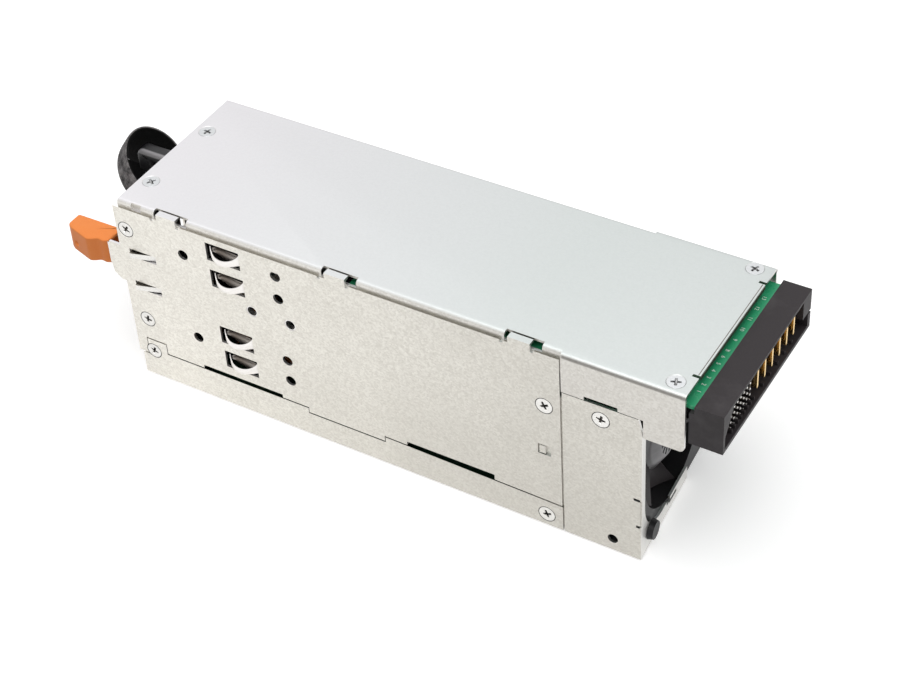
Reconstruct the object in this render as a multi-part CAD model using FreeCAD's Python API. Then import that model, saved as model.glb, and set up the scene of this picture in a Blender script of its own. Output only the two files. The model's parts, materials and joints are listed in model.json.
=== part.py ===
"""A hot swap server power supply: sheet-metal case, fan, boards, latch, handle and connectors.

Millimetres, +Z up.  X runs from the rear (handle) end to the front (connector) end, Y from the
near side (latch and side panel) to the far side.  The origin is the centre of the case bottom.
"""
import FreeCAD, Part
import math
import os

# Driving sizes of the case.
LENGTH = 232.0
WIDTH = 74.0
HEIGHT = 84.5
SHEET = 1.0
GAP = 0.3
FOLD = 1.6
CUT = 2.0 * SHEET

REAR = -LENGTH / 2
FRONT = LENGTH / 2
NEAR = -WIDTH / 2
FAR = WIDTH / 2
NEAR_IN = NEAR + SHEET
FAR_IN = FAR - SHEET
NEAR_LAP = NEAR_IN + SHEET
FAR_LAP = FAR_IN - SHEET
COVER_UNDER = HEIGHT - SHEET

# The side panel ends at the seam, where the fan section starts.
FAN_SECTION = 45.8
SEAM = FRONT - FAN_SECTION
PANEL_TOP = HEIGHT - 2.4
PANEL_OVERHANG = 1.6
PANEL_END = LENGTH - FAN_SECTION
LAP_DROP = 9.5
SIDE_TOP = HEIGHT - 17.3
CHIN_BOTTOM = HEIGHT - 25.0
CHIN_ROUND = 2.0

# Height of the tray's near flange along the case: start, end, height at each (from the rear).
TRAY_FLANGE = (
    (0.0, 3.3, 10.0, 10.0),
    (3.3, 12.3, 18.0, 18.0),
    (12.3, 78.0, 13.0, 13.0),
    (78.0, 112.0, 10.5, 10.5),
    (112.0, PANEL_END, 13.0, 11.6),
)
SEAM_SLOTS = ((30.0, 66.5), (121.5, 158.3))
SEAM_SLOT_DEPTH = 1.8

# The latch line hangs at this height; the leaf hinges just behind its riveted base.
LATCH_DROP = 31.6
LATCH_HEIGHT = HEIGHT - LATCH_DROP
HINGE_REACH = 37.3
LEAF = 0.8
LEAF_HEIGHT = 10.0
STRIP_HALF = 4.6
LATCH_END_GAP = 0.6
RIVETS = (57.6, 74.5)
RIVET_RADIUS = 2.4
RIVET_BORE = 2.0
RIVET_FLANGE = 0.9
LATCH_BASE_END = 80.0
TOOTH_SLOT_LENGTH = 12.1
TOOTH_SLOT_HEIGHT = 3.7
TOOTH_SLOT_START = 2.9
TOOTH_SPREAD = 15.6
TOOTH_PROUD = 1.4
TOOTH_TOP_GAP = 0.9
TOOTH_LOW_GAP = 0.4
LATCH_TRAVEL_ROOM = 5.2

# Release tab: its plan from the rear and from the near side, and the hollow in its end.
TAB_PLAN = ((-29.0, 9.5), (-8.4, 9.9), (-8.4, 1.6), (-10.4, 0.3), (-13.0, 0.8), (-15.0, -0.4),
            (-17.0, -1.4), (-27.0, 1.6), (-29.0, 3.0))
TAB_BOTTOM = LATCH_HEIGHT - 2.6
TAB_TOP = LATCH_HEIGHT + 8.6
TAB_GRIP = -24.0
TAB_WALL = 1.2
TAB_HOLLOW = (-19.0, 3.4, 8.6)

# Near side panel features, measured from the rear and from the bottom.
WINDOWS = ((40.2, HEIGHT - 13.4), (40.6, LATCH_HEIGHT + 5.7), (40.9, 31.2), (41.5, 19.1))
WINDOW_LENGTH = 14.8
WINDOW_HEIGHT = 8.1
PANEL_HOLES = ((28.8, HEIGHT - 15.5), (29.7, 29.1), (70.5, HEIGHT - 10.2),
               (70.6, HEIGHT - 20.7), (71.1, 34.0), (71.4, 24.1))
PANEL_HOLE_RADIUS = 2.2
FOLD_TAB_STARTS = (18.8, 92.3, PANEL_END - 20.1)
FOLD_TAB_LENGTH = 8.6
FOLD_TAB_DEPTH = 2.8
NOTCH_BEFORE_TAB = 3.1
NOTCH_WIDTH = 1.2
NOTCH_DEPTH = 1.4
CUTOUT_BEFORE_TAB = 1.8
CUTOUT_LENGTH = 14.6
CUTOUT_ROOM = 0.5
FLANGE_GAP = (6.6, 11.0)
FLANGE_GAP_DEPTH = 0.9
HOOK_HOLE = (-9.6, -4.4, 34.7, 39.2)
EAR_PROFILE = ((0.0, -7.4), (-3.6, -7.4), (-6.8, -4.8), (-7.5, 0.4), (-6.8, 10.0), (0.0, 10.0))

# Grounding springs: bowed strips with a scooped upper edge and a curled end.
SPRING_THICK = 0.35
SPRING_HEIGHT = 6.4
SPRING_FOOT = 4.0
SCOOP_RADIUS = 6.7
SCOOP_DEPTH = 2.7
SCOOP_AT = 8.4

# Rear panel: its flanges and its air slots.
FLANGE = 12.0
FLANGE_BELOW_LATCH = 14.9
FLANGE_ABOVE_LATCH = 13.1
VENTS = 8
VENT_PITCH = 4.6
VENT_WIDTH = 2.4
VENT_MARGIN = 8.0
VENT_ROWS = ((24.0, 42.0), (48.0, HEIGHT - 14.5))
LENS_Z = 16.0
LENS_RADIUS = 1.6

# Screws: the countersunk head and its shank.
HEAD_RADIUS = 3.5
HEAD_DEPTH = 1.6
SCREW_RADIUS = 1.25
SCREW_CLEARANCE = 0.05
SCREW_LENGTH = 3.4
COVER_SCREW_LENGTH = 7.5
DIMPLE_WALL = 0.7
REAR_SIDE_SCREWS = ((2.9, HEIGHT - 12.7), (5.5, 28.7), (5.7, 12.5))
FRONT_SIDE_SCREWS = ((-6.7, SIDE_TOP - 9.1), (-6.8, 5.1), (15.0, SIDE_TOP - 6.2))
COVER_SCREWS_REAR = ((5.5, NEAR + 51.2), (5.3, NEAR + 15.6))
COVER_SCREWS_FRONT = ((6.7, FAR - 4.2), (6.0, NEAR + 5.5))

# Fan, mounted on the end plate of its bracket; both are turned slightly about the vertical.
YAW = 4.04
FAN_SIZE = 60.0
FAN_DEPTH = 25.0
FAN_SIDE_ROOM = 3.6
FAN_FLOOR_ROOM = 2.5
FAN_CENTRE_Y = NEAR + FAN_SIDE_ROOM + FAN_SIZE / 2
FAN_CENTRE_Z = FAN_FLOOR_ROOM + FAN_SIZE / 2
FAN_HOLE_PITCH = 50.0
FAN_HOLE_RADIUS = 2.15
FAN_FRAME_THICK = 5.0
BORE_RADIUS = 28.5
TIP_RADIUS = 27.8
HUB_RADIUS = 15.4
HUB_WALL = 1.5
HUB_NOSE = 9.9
HUB_RECESS = 1.5
HUB_DOME = 3.3
HUB_SLOTS = 15
HUB_SLOT_WIDTH = 1.5
HUB_SLOT_REACH = (4.8, 9.0)
HUB_FLOOR = -HUB_RECESS - HUB_DOME - 0.2
SHAFT_SEAT = -HUB_RECESS - 2.5
BLADES = 7
FAN_SPOKES = 4
FAN_FOOT = 2.2
BLADE_THICK = 1.2
BLADE_CAMBER = 1.6
BLADE_FEET = (9.0, (-6.9, 2.1), (-18.6, 5.3))
BLADE_TIPS = (29.0, (0.7, -22.9), (-12.0, 5.4))
SHAFT_RADIUS = 1.5
SHAFT_CLEARANCE = 0.04
BEARING_RADIUS = 3.5
TUBE_RADIUS = 5.0
BRACKET_END = FRONT - 15.3
OPENING_MARGIN_SIDE = 3.4
OPENING_MARGIN_BOTTOM = 5.8
OPENING_RADIUS = 17.0
PLATE_STRIP_END = 44.0
PLATE_SLIT = (26.5, 33.4, 3.1)
BRACKET_HOLE = (-11.0, 5.4, 2.0)
BEND_NOTCHES = (16.0, 29.0)
BEND_NOTCH_SIZE = 1.2
BEND_SLIT = 0.5
LUG_BACK = 13.0
LUG_AHEAD = 4.0
CHIN_SLOT_LENGTH = 12.7
CHIN_SLOT_HEIGHT = 1.2
PUSH_RIVET_HEAD = 2.2
PUSH_RIVET_RADIUS = 4.0

# Boards.
BOARD = 1.6
MAIN_BOARD_Z = 6.0
BOARD_INSET = 2.6
OUTPUT_BOARD_TOP = HEIGHT - 5.0
OUTPUT_BOARD_START = 100.0
OUTPUT_BOARD_BEYOND = 2.8
STANDOFF_RADIUS = 2.6
STANDOFF_INSET_X = 12.0
STANDOFF_INSET_Y = 9.0
INSULATION = 0.4

# Output connector.
CONNECTOR_START = 3.0
CONNECTOR_LEDGE = 1.8
CONNECTOR_END = 13.6
CONNECTOR_BOTTOM = HEIGHT - 20.2
CONNECTOR_TOP = HEIGHT - 3.4
CONNECTOR_NEAR = NEAR + 0.4
CONNECTOR_FAR = FAR - 1.6
CONNECTOR_MOUTH = 3.0
CONNECTOR_RECESS = 8.4
CONNECTOR_END_WALL = 1.4
CONNECTOR_WALL = 1.6
CONNECTOR_FAR_WALL = 2.2
CONNECTOR_BEVEL = (6.4, 9.2)
CONNECTOR_STEP = (7.0, 8.9)
CONNECTOR_TOP_WALL = 1.1
RIB_HEIGHT = 1.5
RIB_THICK = 0.8
RIB_SETBACK = 1.0
KEY_NOTCH = (2.6, 1.2)
GUIDE_WIDTH = 4.6
GUIDE_WALL = 1.0
POWER_START = CONNECTOR_NEAR + 28.6
POWER_PITCH = 6.05
POWER_COUNT = 6
POWER_BLADE = 1.0
POWER_GAP = 0.95
POWER_ABOVE = 4.6
POWER_BELOW = 3.7
POWER_TAIL = 3.0
POWER_SETBACK = 1.3
SIGNAL_START = CONNECTOR_NEAR + 10.7
SIGNAL_PITCH = 2.54
SIGNAL_COLUMNS = 7
SIGNAL_ROWS = 4
SIGNAL_SIZE = 0.7
SIGNAL_LOWEST = 2.1
SIGNAL_SETBACK = 2.1

# Mains inlet (a three-pin recessed inlet with earth pin).
INLET_Y = -13.0
INLET_Z = 30.0
INLET_WIDTH = 27.4
INLET_HEIGHT = 20.0
INLET_DEPTH = 24.0
INLET_WALL = 1.6
INLET_CAVITY = 16.5
INLET_FLANGE = 1.6
PIN_PITCH = 7.0
PIN_OFFSET = 2.0

# Handle and cord strap.
HANDLE_Y = 14.0
HANDLE_THICK = 6.0
HANDLE_REACH = 30.0
HANDLE_BOTTOM = 14.0
HANDLE_TOP = 67.0
HANDLE_LEG = 4.8
HANDLE_GRIP = 7.0
HANDLE_BEND = 4.0
STRAP_CENTRE = (-21.7, 9.6, 61.05)
STRAP_MAJOR = 15.7
STRAP_MINOR = 11.9
STRAP_TILT = 55.0
STRAP_THICK = 1.5
STRAP_WIDTH = 9.8
STRAP_LEAN = 34.0

# Pieces on the main board, measured from the rear, across and above the board.
BULK_RADIUS = 14.0
BULK_HEIGHT = 46.0
BULK_FROM_REAR = 84.0
BULK_SPREAD = 16.0
FILTER_CHOKE = (42.0, 17.0, 12.5, 5.5, 7.5)
FILTER_BLOCK = (57.0, 66.0, -6.0, 12.0, 16.0)
PFC_CHOKE = (50.0, -19.0, 17.5, 7.0, 11.0)
CHOKE_FOOT = 2.5
FUSE = (24.0, 8.0, 28.0)
FUSE_RADIUS = 2.4
FUSE_CAP = 5.0
FUSE_LIFT = 4.0
SINK_HEIGHT = 50.0
SINK_PLATE = 3.0
SINK_REACH = 11.0
SINK_FINS = 4
SINK_PITCH = 8.0
SINK_FIN = 1.2
SINK_SIDE = 20.0
PRIMARY_SINK = (102.0, 146.0)
SECONDARY_SINK = (132.0, PANEL_END - 12.2)
PACKAGE = (4.2, 16.0)
PACKAGE_SHARE = 0.75
PACKAGE_LIFT = 10.0
PACKAGES_PER_SINK = 3
LEAD = 0.8
LEAD_SHARE = 0.28
CORE = (106.0, 124.0, 0.0, 32.0, 36.0)
CORE_LIFT = 2.0
CORE_FOOT = 14.0
CORE_LIMB = 4.0
CORE_YOKE = 5.0
CORE_ROOM = 8.0
COIL_CLEAR = 0.4
COIL_OVERHANG = 6.0
OUTPUT_CAN_RADIUS = 4.8
OUTPUT_CAN_HEIGHT = 14.0
OUTPUT_CAN_PITCH = 12.0
OUTPUT_CAN_ROW = 8.0
OUTPUT_CAN_COUNT = 4


def vec(x, y, z):
    """Return a vector."""
    return FreeCAD.Vector(x, y, z)


def box(x0, x1, y0, y1, z0, z1):
    """Return a box between two corners."""
    return Part.makeBox(x1 - x0, y1 - y0, z1 - z0, vec(x0, y0, z0))


def rod(start, end, radius):
    """Return a cylinder between two points."""
    line = end - start
    return Part.makeCylinder(radius, line.Length, start, line)


def cone(start, end, r0, r1):
    """Return a cone between two points."""
    line = end - start
    return Part.makeCone(r0, r1, line.Length, start, line)


def tube(start, end, outer, inner):
    """Return a cylinder with a hole through it."""
    return rod(start, end, outer).cut(rod(start, end, inner))


def fuse(shapes):
    """Join shapes into one solid."""
    joined = shapes[0].fuse(shapes[1:]) if len(shapes) > 1 else shapes[0]
    return joined.removeSplitter()


def prism(points, push):
    """Extrude the polygon through the given points."""
    wire = Part.makePolygon([vec(*p) for p in points] + [vec(*points[0])])
    return Part.Face(wire).extrude(vec(*push))


def side_plate(profile, y0, y1):
    """Extrude a profile of (x, z) points across Y."""
    return prism([(x, y0, z) for x, z in profile], (0, y1 - y0, 0))


def flat_plate(profile, z0, z1):
    """Extrude a profile of (x, y) points up Z."""
    return prism([(x, y, z0) for x, y in profile], (0, 0, z1 - z0))


def end_plate(profile, x0, x1):
    """Extrude a profile of (y, z) points along X."""
    return prism([(x0, y, z) for y, z in profile], (x1 - x0, 0, 0))


def edges_along(shape, axis, test):
    """Pick the straight edges parallel to an axis whose middle passes the test."""
    picked = []
    for edge in shape.Edges:
        a, b = edge.Vertexes[0].Point, edge.Vertexes[-1].Point
        line = b - a
        if line.Length > 1e-6 and abs(abs(line.normalize().dot(axis)) - 1) < 1e-6:
            if test((a + b) * 0.5):
                picked.append(edge)
    return picked


def countersink(point, inward, length=SCREW_LENGTH):
    """Return the space taken by a countersunk screw whose head is flush at the point."""
    head = cone(point - inward * 0.01, point + inward * HEAD_DEPTH, HEAD_RADIUS, SCREW_RADIUS)
    hole = rod(point, point + inward * (length + 1), SCREW_RADIUS + SCREW_CLEARANCE)
    return fuse([head, hole])


def screw(point, inward, length=SCREW_LENGTH):
    """Return a countersunk screw whose head is flush at the point."""
    head = cone(point, point + inward * HEAD_DEPTH, HEAD_RADIUS - SCREW_CLEARANCE, SCREW_RADIUS)
    shank = rod(point, point + inward * length, SCREW_RADIUS)
    return fuse([head, shank])


def dimple(point, inward):
    """Return the formed metal behind a countersunk head."""
    depth = HEAD_DEPTH - SHEET + DIMPLE_WALL
    start = point + inward * SHEET
    return cone(start, start + inward * depth, HEAD_RADIUS, HEAD_RADIUS - 1.2)


def ribbon(points, thickness):
    """Return the closed outline of a strip of the given thickness along (x, y) points."""
    left, right = [], []
    for i, (x, y) in enumerate(points):
        xa, ya = points[max(i - 1, 0)]
        xb, yb = points[min(i + 1, len(points) - 1)]
        size = math.hypot(xb - xa, yb - ya)
        nx, ny = -(yb - ya) / size, (xb - xa) / size
        left.append((x + nx * thickness / 2, y + ny * thickness / 2))
        right.append((x - nx * thickness / 2, y - ny * thickness / 2))
    return left + right[::-1]


def on_fan(shape):
    """Move a shape from the fan's own frame (front face at x = 0, on its axis) to its place."""
    placed = shape.copy()
    placed.rotate(vec(0, 0, 0), vec(0, 0, 1), YAW)
    placed.translate(fan_face())
    return placed


def fan_face():
    """Return the middle of the fan's front face, seated on the back of the end plate."""
    x = BRACKET_END - (FAN_CENTRE_Y - NEAR) * math.tan(math.radians(YAW))
    return vec(x - SHEET / math.cos(math.radians(YAW)), FAN_CENTRE_Y, FAN_CENTRE_Z)


def side_screw_points():
    """Return the head centres of the screws in the near side."""
    rear = [vec(REAR + x, NEAR, z) for x, z in REAR_SIDE_SCREWS]
    front = [vec(SEAM + x, NEAR, z) for x, z in FRONT_SIDE_SCREWS]
    return rear + front


def cover_screw_points():
    """Return the head centres of the screws in the cover."""
    rear = [vec(REAR + x, y, HEIGHT) for x, y in COVER_SCREWS_REAR]
    front = [vec(FRONT - x, y, HEIGHT) for x, y in COVER_SCREWS_FRONT]
    return rear + front


def cut_side_screws(shape):
    """Cut the room of the side screws."""
    inward = vec(0, 1, 0)
    return shape.cut([countersink(p, inward) for p in side_screw_points()])


def chassis():
    """The tray: bottom, stepped near flange and the full far wall."""
    pieces = [box(REAR, SEAM - GAP, NEAR, FAR, 0, SHEET)]
    for x0, x1, z0, z1 in TRAY_FLANGE:
        end = REAR + x1 - (GAP if x1 == PANEL_END else 0)
        pieces.append(side_plate(((REAR + x0, 0), (REAR + x0, z0), (end, z1), (end, 0)),
                                 NEAR, NEAR_IN))
    pieces.append(box(REAR, SEAM - GAP, FAR_IN, FAR, 0, PANEL_TOP))
    return cut_side_screws(fuse(pieces))


def panel_outline():
    """The near side panel before its openings are cut."""
    sheet = box(REAR - PANEL_OVERHANG, SEAM - GAP, NEAR, NEAR_IN, 0, PANEL_TOP)
    ear = side_plate([(REAR + x, LATCH_HEIGHT + z) for x, z in EAR_PROFILE], NEAR, NEAR_IN)
    tabs = []
    for start in FOLD_TAB_STARTS:
        x0, x1 = REAR + start, REAR + start + FOLD_TAB_LENGTH
        tabs.append(box(x0, x1, NEAR, NEAR_IN, PANEL_TOP - SHEET, HEIGHT - GAP))
        tabs.append(box(x0, x1, NEAR, NEAR + FOLD_TAB_DEPTH, HEIGHT - GAP - SHEET,
                        HEIGHT - GAP))
    return fuse([sheet, ear] + tabs)


def panel_openings():
    """Everything cut through the near side panel."""
    y0, y1 = NEAR - CUT, NEAR + CUT
    cuts = []
    for x0, x1, z0, z1 in TRAY_FLANGE:
        a, b = REAR + x0 - (GAP if x0 > 0 else 5), REAR + x1 + GAP
        cuts.append(side_plate(((a, -1), (a, z0 + GAP), (b, z1 + GAP), (b, -1)), y0, y1))
    for x0, x1 in SEAM_SLOTS:
        cuts.append(box(REAR + x0, REAR + x1, y0, y1, 11, TRAY_FLANGE[2][2] + SEAM_SLOT_DEPTH))
    for x, z in WINDOWS:
        cuts.append(box(REAR + x, REAR + x + WINDOW_LENGTH, y0, y1, z, z + WINDOW_HEIGHT))
    for x, z in PANEL_HOLES:
        cuts.append(rod(vec(REAR + x, y0, z), vec(REAR + x, y1, z), PANEL_HOLE_RADIUS))
    for x in RIVETS:
        cuts.append(rod(vec(REAR + x, y0, LATCH_HEIGHT), vec(REAR + x, y1, LATCH_HEIGHT),
                        RIVET_RADIUS + SCREW_CLEARANCE))
    for z in tooth_heights():
        x = REAR + TOOTH_SLOT_START
        half = TOOTH_SLOT_HEIGHT / 2
        cuts.append(box(x, x + TOOTH_SLOT_LENGTH, y0, y1, z - half, z + half))
    for start in FOLD_TAB_STARTS:
        for x in (REAR + start - NOTCH_BEFORE_TAB, REAR + start + FOLD_TAB_LENGTH):
            cuts.append(box(x, x + NOTCH_WIDTH, y0, y1, PANEL_TOP - NOTCH_DEPTH, HEIGHT))
    x0, x1, z0, z1 = HOOK_HOLE
    cuts.append(box(SEAM + x0, SEAM + x1, y0, y1, z0, z1))
    return cuts


def near_side_panel():
    """The separate sheet closing the near side, with its ear and top tabs."""
    panel = panel_outline().cut(panel_openings())
    return cut_side_screws(panel)


def folded_cover(x0, x1, half_width, drop):
    """A channel open downwards, with rounded outer folds."""
    outer = box(x0, x1, -half_width, half_width, HEIGHT - drop, HEIGHT)
    along = vec(1, 0, 0)
    outer = outer.makeFillet(FOLD, edges_along(outer, along, lambda p: p.z > HEIGHT - 0.01))
    inner = box(x0 - 1, x1 + 1, -half_width + SHEET, half_width - SHEET, 0, COVER_UNDER)
    inner = inner.makeFillet(FOLD - SHEET, edges_along(inner, along, lambda p: p.z > 1))
    return outer.cut(inner)


def cover_cuts():
    """Openings in the cover: fold cut-outs, spring room and end notches."""
    cuts = []
    bottom = PANEL_TOP - CUTOUT_ROOM
    for start in FOLD_TAB_STARTS:
        x0 = REAR + start - CUTOUT_BEFORE_TAB
        cuts.append(box(x0, x0 + CUTOUT_LENGTH, NEAR - 1, NEAR + FOLD_TAB_DEPTH + CUTOUT_ROOM,
                        bottom, HEIGHT + 1))
    x0, x1 = FLANGE_GAP
    cuts.append(box(REAR + x0, REAR + x1, NEAR - 1, NEAR_IN + FLANGE_GAP_DEPTH, bottom, HEIGHT + 1))
    cuts.append(box(REAR + 36, REAR + 60, NEAR_IN - 0.2, NEAR_LAP + 0.2, 0, HEIGHT - 4))
    for y in (NEAR + 10.8, FAR - 10.1):
        cuts.append(box(FRONT - 2.6, FRONT + 1, y - 0.6, y + 0.6, 0, HEIGHT + 1))
    return cuts


def top_cover():
    """The cover: inset behind the side walls, joggled out flush over the fan section."""
    rear = folded_cover(REAR + GAP, SEAM + 1, FAR_IN, LAP_DROP)
    front = folded_cover(SEAM, FRONT, FAR, HEIGHT - CHIN_BOTTOM)
    trims = []
    step = BRACKET_END - math.tan(math.radians(YAW)) * WIDTH
    for y, end in ((NEAR, BRACKET_END + GAP), (FAR_IN, step + GAP)):
        trims.append(box(SEAM - 1, end, y - 0.5, y + 1.5, 0, SIDE_TOP + GAP))
    front = front.makeFillet(CHIN_ROUND, edges_along(
        front, vec(0, 1, 0), lambda p: p.x > FRONT - 0.01 and p.z < CHIN_BOTTOM + 0.01))
    front = front.cut(trims)
    lip = box(FRONT - SHEET, FRONT, NEAR + 11.4, FAR - 10.7, COVER_UNDER - 3.2, HEIGHT - 0.4)
    x0 = SEAM + FRONT_SIDE_SCREWS[2][0] - CHIN_SLOT_LENGTH / 2
    x1 = x0 + CHIN_SLOT_LENGTH
    slot = box(x0, x1, NEAR - 1, NEAR_IN, SIDE_TOP - 1, SIDE_TOP + CHIN_SLOT_HEIGHT)
    land = box(x0 + 0.6, x1 - 0.6, NEAR_IN, NEAR_LAP, SIDE_TOP - 11, SIDE_TOP + 5)
    land = land.cut(box(x0 + 1.5, x1 - 1.5, NEAR, NEAR_LAP + 1, SIDE_TOP - 0.8,
                        SIDE_TOP + CHIN_SLOT_HEIGHT + 0.8))
    down = vec(0, 0, -1)
    bumps = [dimple(p, down) for p in cover_screw_points()]
    cover = fuse([rear, front.cut(slot), lip, land] + bumps)
    cover = cover.cut(cover_cuts() + [countersink(p, down) for p in cover_screw_points()])
    return cut_side_screws(cover)


def rear_flange_top():
    """Height of the rear panel's top flange, which carries the cover's dimples."""
    return HEIGHT - HEAD_DEPTH - DIMPLE_WALL


def rear_panel():
    """The rear plate with its flanges and the openings for inlet, latch, light and air."""
    top = rear_flange_top()
    plate = box(REAR, REAR + SHEET, NEAR_IN, FAR_IN, SHEET, top)
    flanges = [
        box(REAR, REAR + FLANGE, NEAR_LAP + GAP, FAR_LAP - GAP, top - SHEET, top),
        box(REAR, REAR + FLANGE, NEAR_IN, NEAR_LAP, 5, LATCH_HEIGHT - FLANGE_BELOW_LATCH),
        box(REAR, REAR + FLANGE, NEAR_IN, NEAR_LAP, LATCH_HEIGHT + FLANGE_ABOVE_LATCH,
            HEIGHT - LAP_DROP - GAP),
        box(REAR, REAR + FLANGE, FAR_LAP, FAR_IN, 5, HEIGHT - LAP_DROP - GAP),
    ]
    x0, x1 = REAR - 1, REAR + CUT
    half_z = LEAF_HEIGHT / 2 + 1.4
    leaf_z = (TAB_BOTTOM + TAB_TOP) / 2
    upper = box(x0, x1, NEAR_IN - 1, NEAR_LAP, HEIGHT - LAP_DROP - GAP, HEIGHT)
    lower = box(x0, x1, FAR_LAP, FAR_IN + 1, HEIGHT - LAP_DROP - GAP, HEIGHT)
    cuts = [
        upper,
        lower,
        box(x0, x1, NEAR, NEAR_LAP + LATCH_TRAVEL_ROOM, leaf_z - half_z, leaf_z + half_z),
        box(x0, x1, INLET_Y - INLET_WIDTH / 2 - 0.1, INLET_Y + INLET_WIDTH / 2 + 0.1,
            INLET_Z - INLET_HEIGHT / 2 - 0.1, INLET_Z + INLET_HEIGHT / 2 + 0.1),
        rod(vec(x0, lens_y(), LENS_Z), vec(x1, lens_y(), LENS_Z), LENS_RADIUS + 0.05),
    ]
    for i in range(VENTS):
        y = FAR - VENT_MARGIN - VENT_PITCH * i
        if abs(y - HANDLE_Y) > HANDLE_THICK / 2 + VENT_WIDTH:
            for z0, z1 in VENT_ROWS:
                cuts.append(box(x0, x1, y - VENT_WIDTH / 2, y + VENT_WIDTH / 2, z0, z1))
    for z in handle_screw_heights():
        cuts.append(rod(vec(x0, HANDLE_Y, z), vec(x1, HANDLE_Y, z), 1.5))
    down = vec(0, 0, -1)
    cuts += [countersink(p, down) for p in cover_screw_points()]
    return cut_side_screws(fuse([plate] + flanges).cut(cuts))


def tooth_heights():
    """Heights of the two latch teeth."""
    return (LATCH_HEIGHT + 0.25 - TOOTH_SPREAD / 2, LATCH_HEIGHT + 0.25 + TOOTH_SPREAD / 2)


def latch_base():
    """The strip riveted inside the side panel, which carries the latch leaf."""
    x0 = REAR + HINGE_REACH + LATCH_END_GAP / 2
    x1 = REAR + LATCH_BASE_END
    z0, z1 = LATCH_HEIGHT - STRIP_HALF, LATCH_HEIGHT + STRIP_HALF
    strip = box(x0, x1, NEAR_IN, NEAR_IN + LEAF, z0, z1)
    strip = strip.makeFillet(1.5, edges_along(strip, vec(0, 1, 0), lambda p: p.x > x1 - 1))
    holes = [rod(vec(REAR + x, NEAR - 1, LATCH_HEIGHT), vec(REAR + x, NEAR + 4, LATCH_HEIGHT),
                 RIVET_RADIUS + SCREW_CLEARANCE) for x in RIVETS]
    return strip.cut(holes)


def latch_rivets():
    """Two tubular rivets through panel and base."""
    shapes = []
    for x in RIVETS:
        a = vec(REAR + x, NEAR + 0.1, LATCH_HEIGHT)
        b = vec(REAR + x, NEAR_IN + LEAF, LATCH_HEIGHT)
        body = rod(a, b, RIVET_RADIUS)
        head = rod(b, b + vec(0, 0.5, 0), RIVET_RADIUS + RIVET_FLANGE)
        bore = rod(a - vec(0, 1, 0), b + vec(0, 2, 0), RIVET_BORE)
        shapes.append(fuse([body, head]).cut(bore))
    return Part.makeCompound(shapes)


def latch_arm():
    """The spring-steel leaf with its two wedge teeth and the neck that carries the tab."""
    y0, y1 = NEAR_IN + GAP, NEAR_IN + GAP + LEAF
    x_hinge = REAR + HINGE_REACH - LATCH_END_GAP / 2
    x_neck = REAR + CUT + 0.6
    low, high = tooth_heights()
    half = TOOTH_SLOT_HEIGHT / 2 - TOOTH_LOW_GAP
    mid = (TAB_BOTTOM + TAB_TOP) / 2
    x_wide = REAR + TOOTH_SLOT_START + TOOTH_SLOT_LENGTH + 1.5
    profile = (
        (x_hinge, LATCH_HEIGHT - STRIP_HALF), (x_hinge, LATCH_HEIGHT + STRIP_HALF),
        (x_wide, high + half), (x_neck, high + half), (x_neck, mid + LEAF_HEIGHT / 2),
        (REAR + TAB_GRIP, mid + LEAF_HEIGHT / 2), (REAR + TAB_GRIP, mid - LEAF_HEIGHT / 2),
        (x_neck, mid - LEAF_HEIGHT / 2), (x_neck, low - half), (x_wide, low - half),
    )
    leaf = side_plate(profile, y0, y1)
    x0 = REAR + TOOTH_SLOT_START + 0.4
    x1 = REAR + TOOTH_SLOT_START + TOOTH_SLOT_LENGTH - 0.8
    wedge = ((x0, y0 + 0.1), (x0 + 0.4, NEAR - TOOTH_PROUD), (x0 + 1.4, NEAR - TOOTH_PROUD),
             (x1, y0 + 0.1))
    top = TOOTH_SLOT_HEIGHT / 2 - TOOTH_TOP_GAP
    teeth = [flat_plate(wedge, z - half, z + top) for z in (low, high)]
    return fuse([leaf] + teeth)


def release_tab():
    """The moulded finger tab pushed on the end of the leaf."""
    plan = [(REAR + x, NEAR + y) for x, y in TAB_PLAN]
    body = flat_plate(plan, TAB_BOTTOM, TAB_TOP)
    up = vec(0, 0, 1)
    body = body.makeFillet(0.9, edges_along(body, up, lambda p: p.x < REAR - 25))
    mid = (TAB_BOTTOM + TAB_TOP) / 2
    pocket = box(REAR + TAB_GRIP - 0.2, REAR - 8, NEAR_IN + GAP - 0.05,
                 NEAR_IN + GAP + LEAF + 0.05, mid - LEAF_HEIGHT / 2 - 0.05,
                 mid + LEAF_HEIGHT / 2 + 0.05)
    x0, y0, y1 = TAB_HOLLOW
    hollow = box(REAR + x0, REAR - 8, NEAR + y0, NEAR + y1, TAB_BOTTOM + TAB_WALL,
                 TAB_TOP - TAB_WALL)
    return body.cut([pocket, hollow])


def grounding_springs():
    """One bowed contact spring in each window, its foot welded inside the panel."""
    seat = SHEET + SPRING_THICK / 2
    path = [(WINDOW_LENGTH + SPRING_FOOT, seat), (WINDOW_LENGTH - 0.3, seat),
            (WINDOW_LENGTH - 1.4, 0.7),
            (WINDOW_LENGTH - 3.0, -0.5), (WINDOW_LENGTH - 5.5, -1.2), (7.0, -1.4), (4.5, -1.3),
            (2.6, -0.6), (1.6, 0.8), (1.8, 2.0), (3.0, 2.8), (5.5, 3.0), (8.5, 2.6)]
    shapes = []
    for x, z in WINDOWS:
        points = [(REAR + x + a, NEAR + b) for a, b in path]
        inset = (WINDOW_HEIGHT - SPRING_HEIGHT) / 2
        top = z + WINDOW_HEIGHT - inset
        strip = flat_plate(ribbon(points, SPRING_THICK), z + inset, top)
        centre = top - SCOOP_DEPTH + SCOOP_RADIUS
        scoop = rod(vec(REAR + x + SCOOP_AT, NEAR - 4, centre),
                    vec(REAR + x + SCOOP_AT, NEAR_IN + 0.05, centre), SCOOP_RADIUS)
        shapes.append(strip.cut(scoop))
    return Part.makeCompound(shapes)


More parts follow.
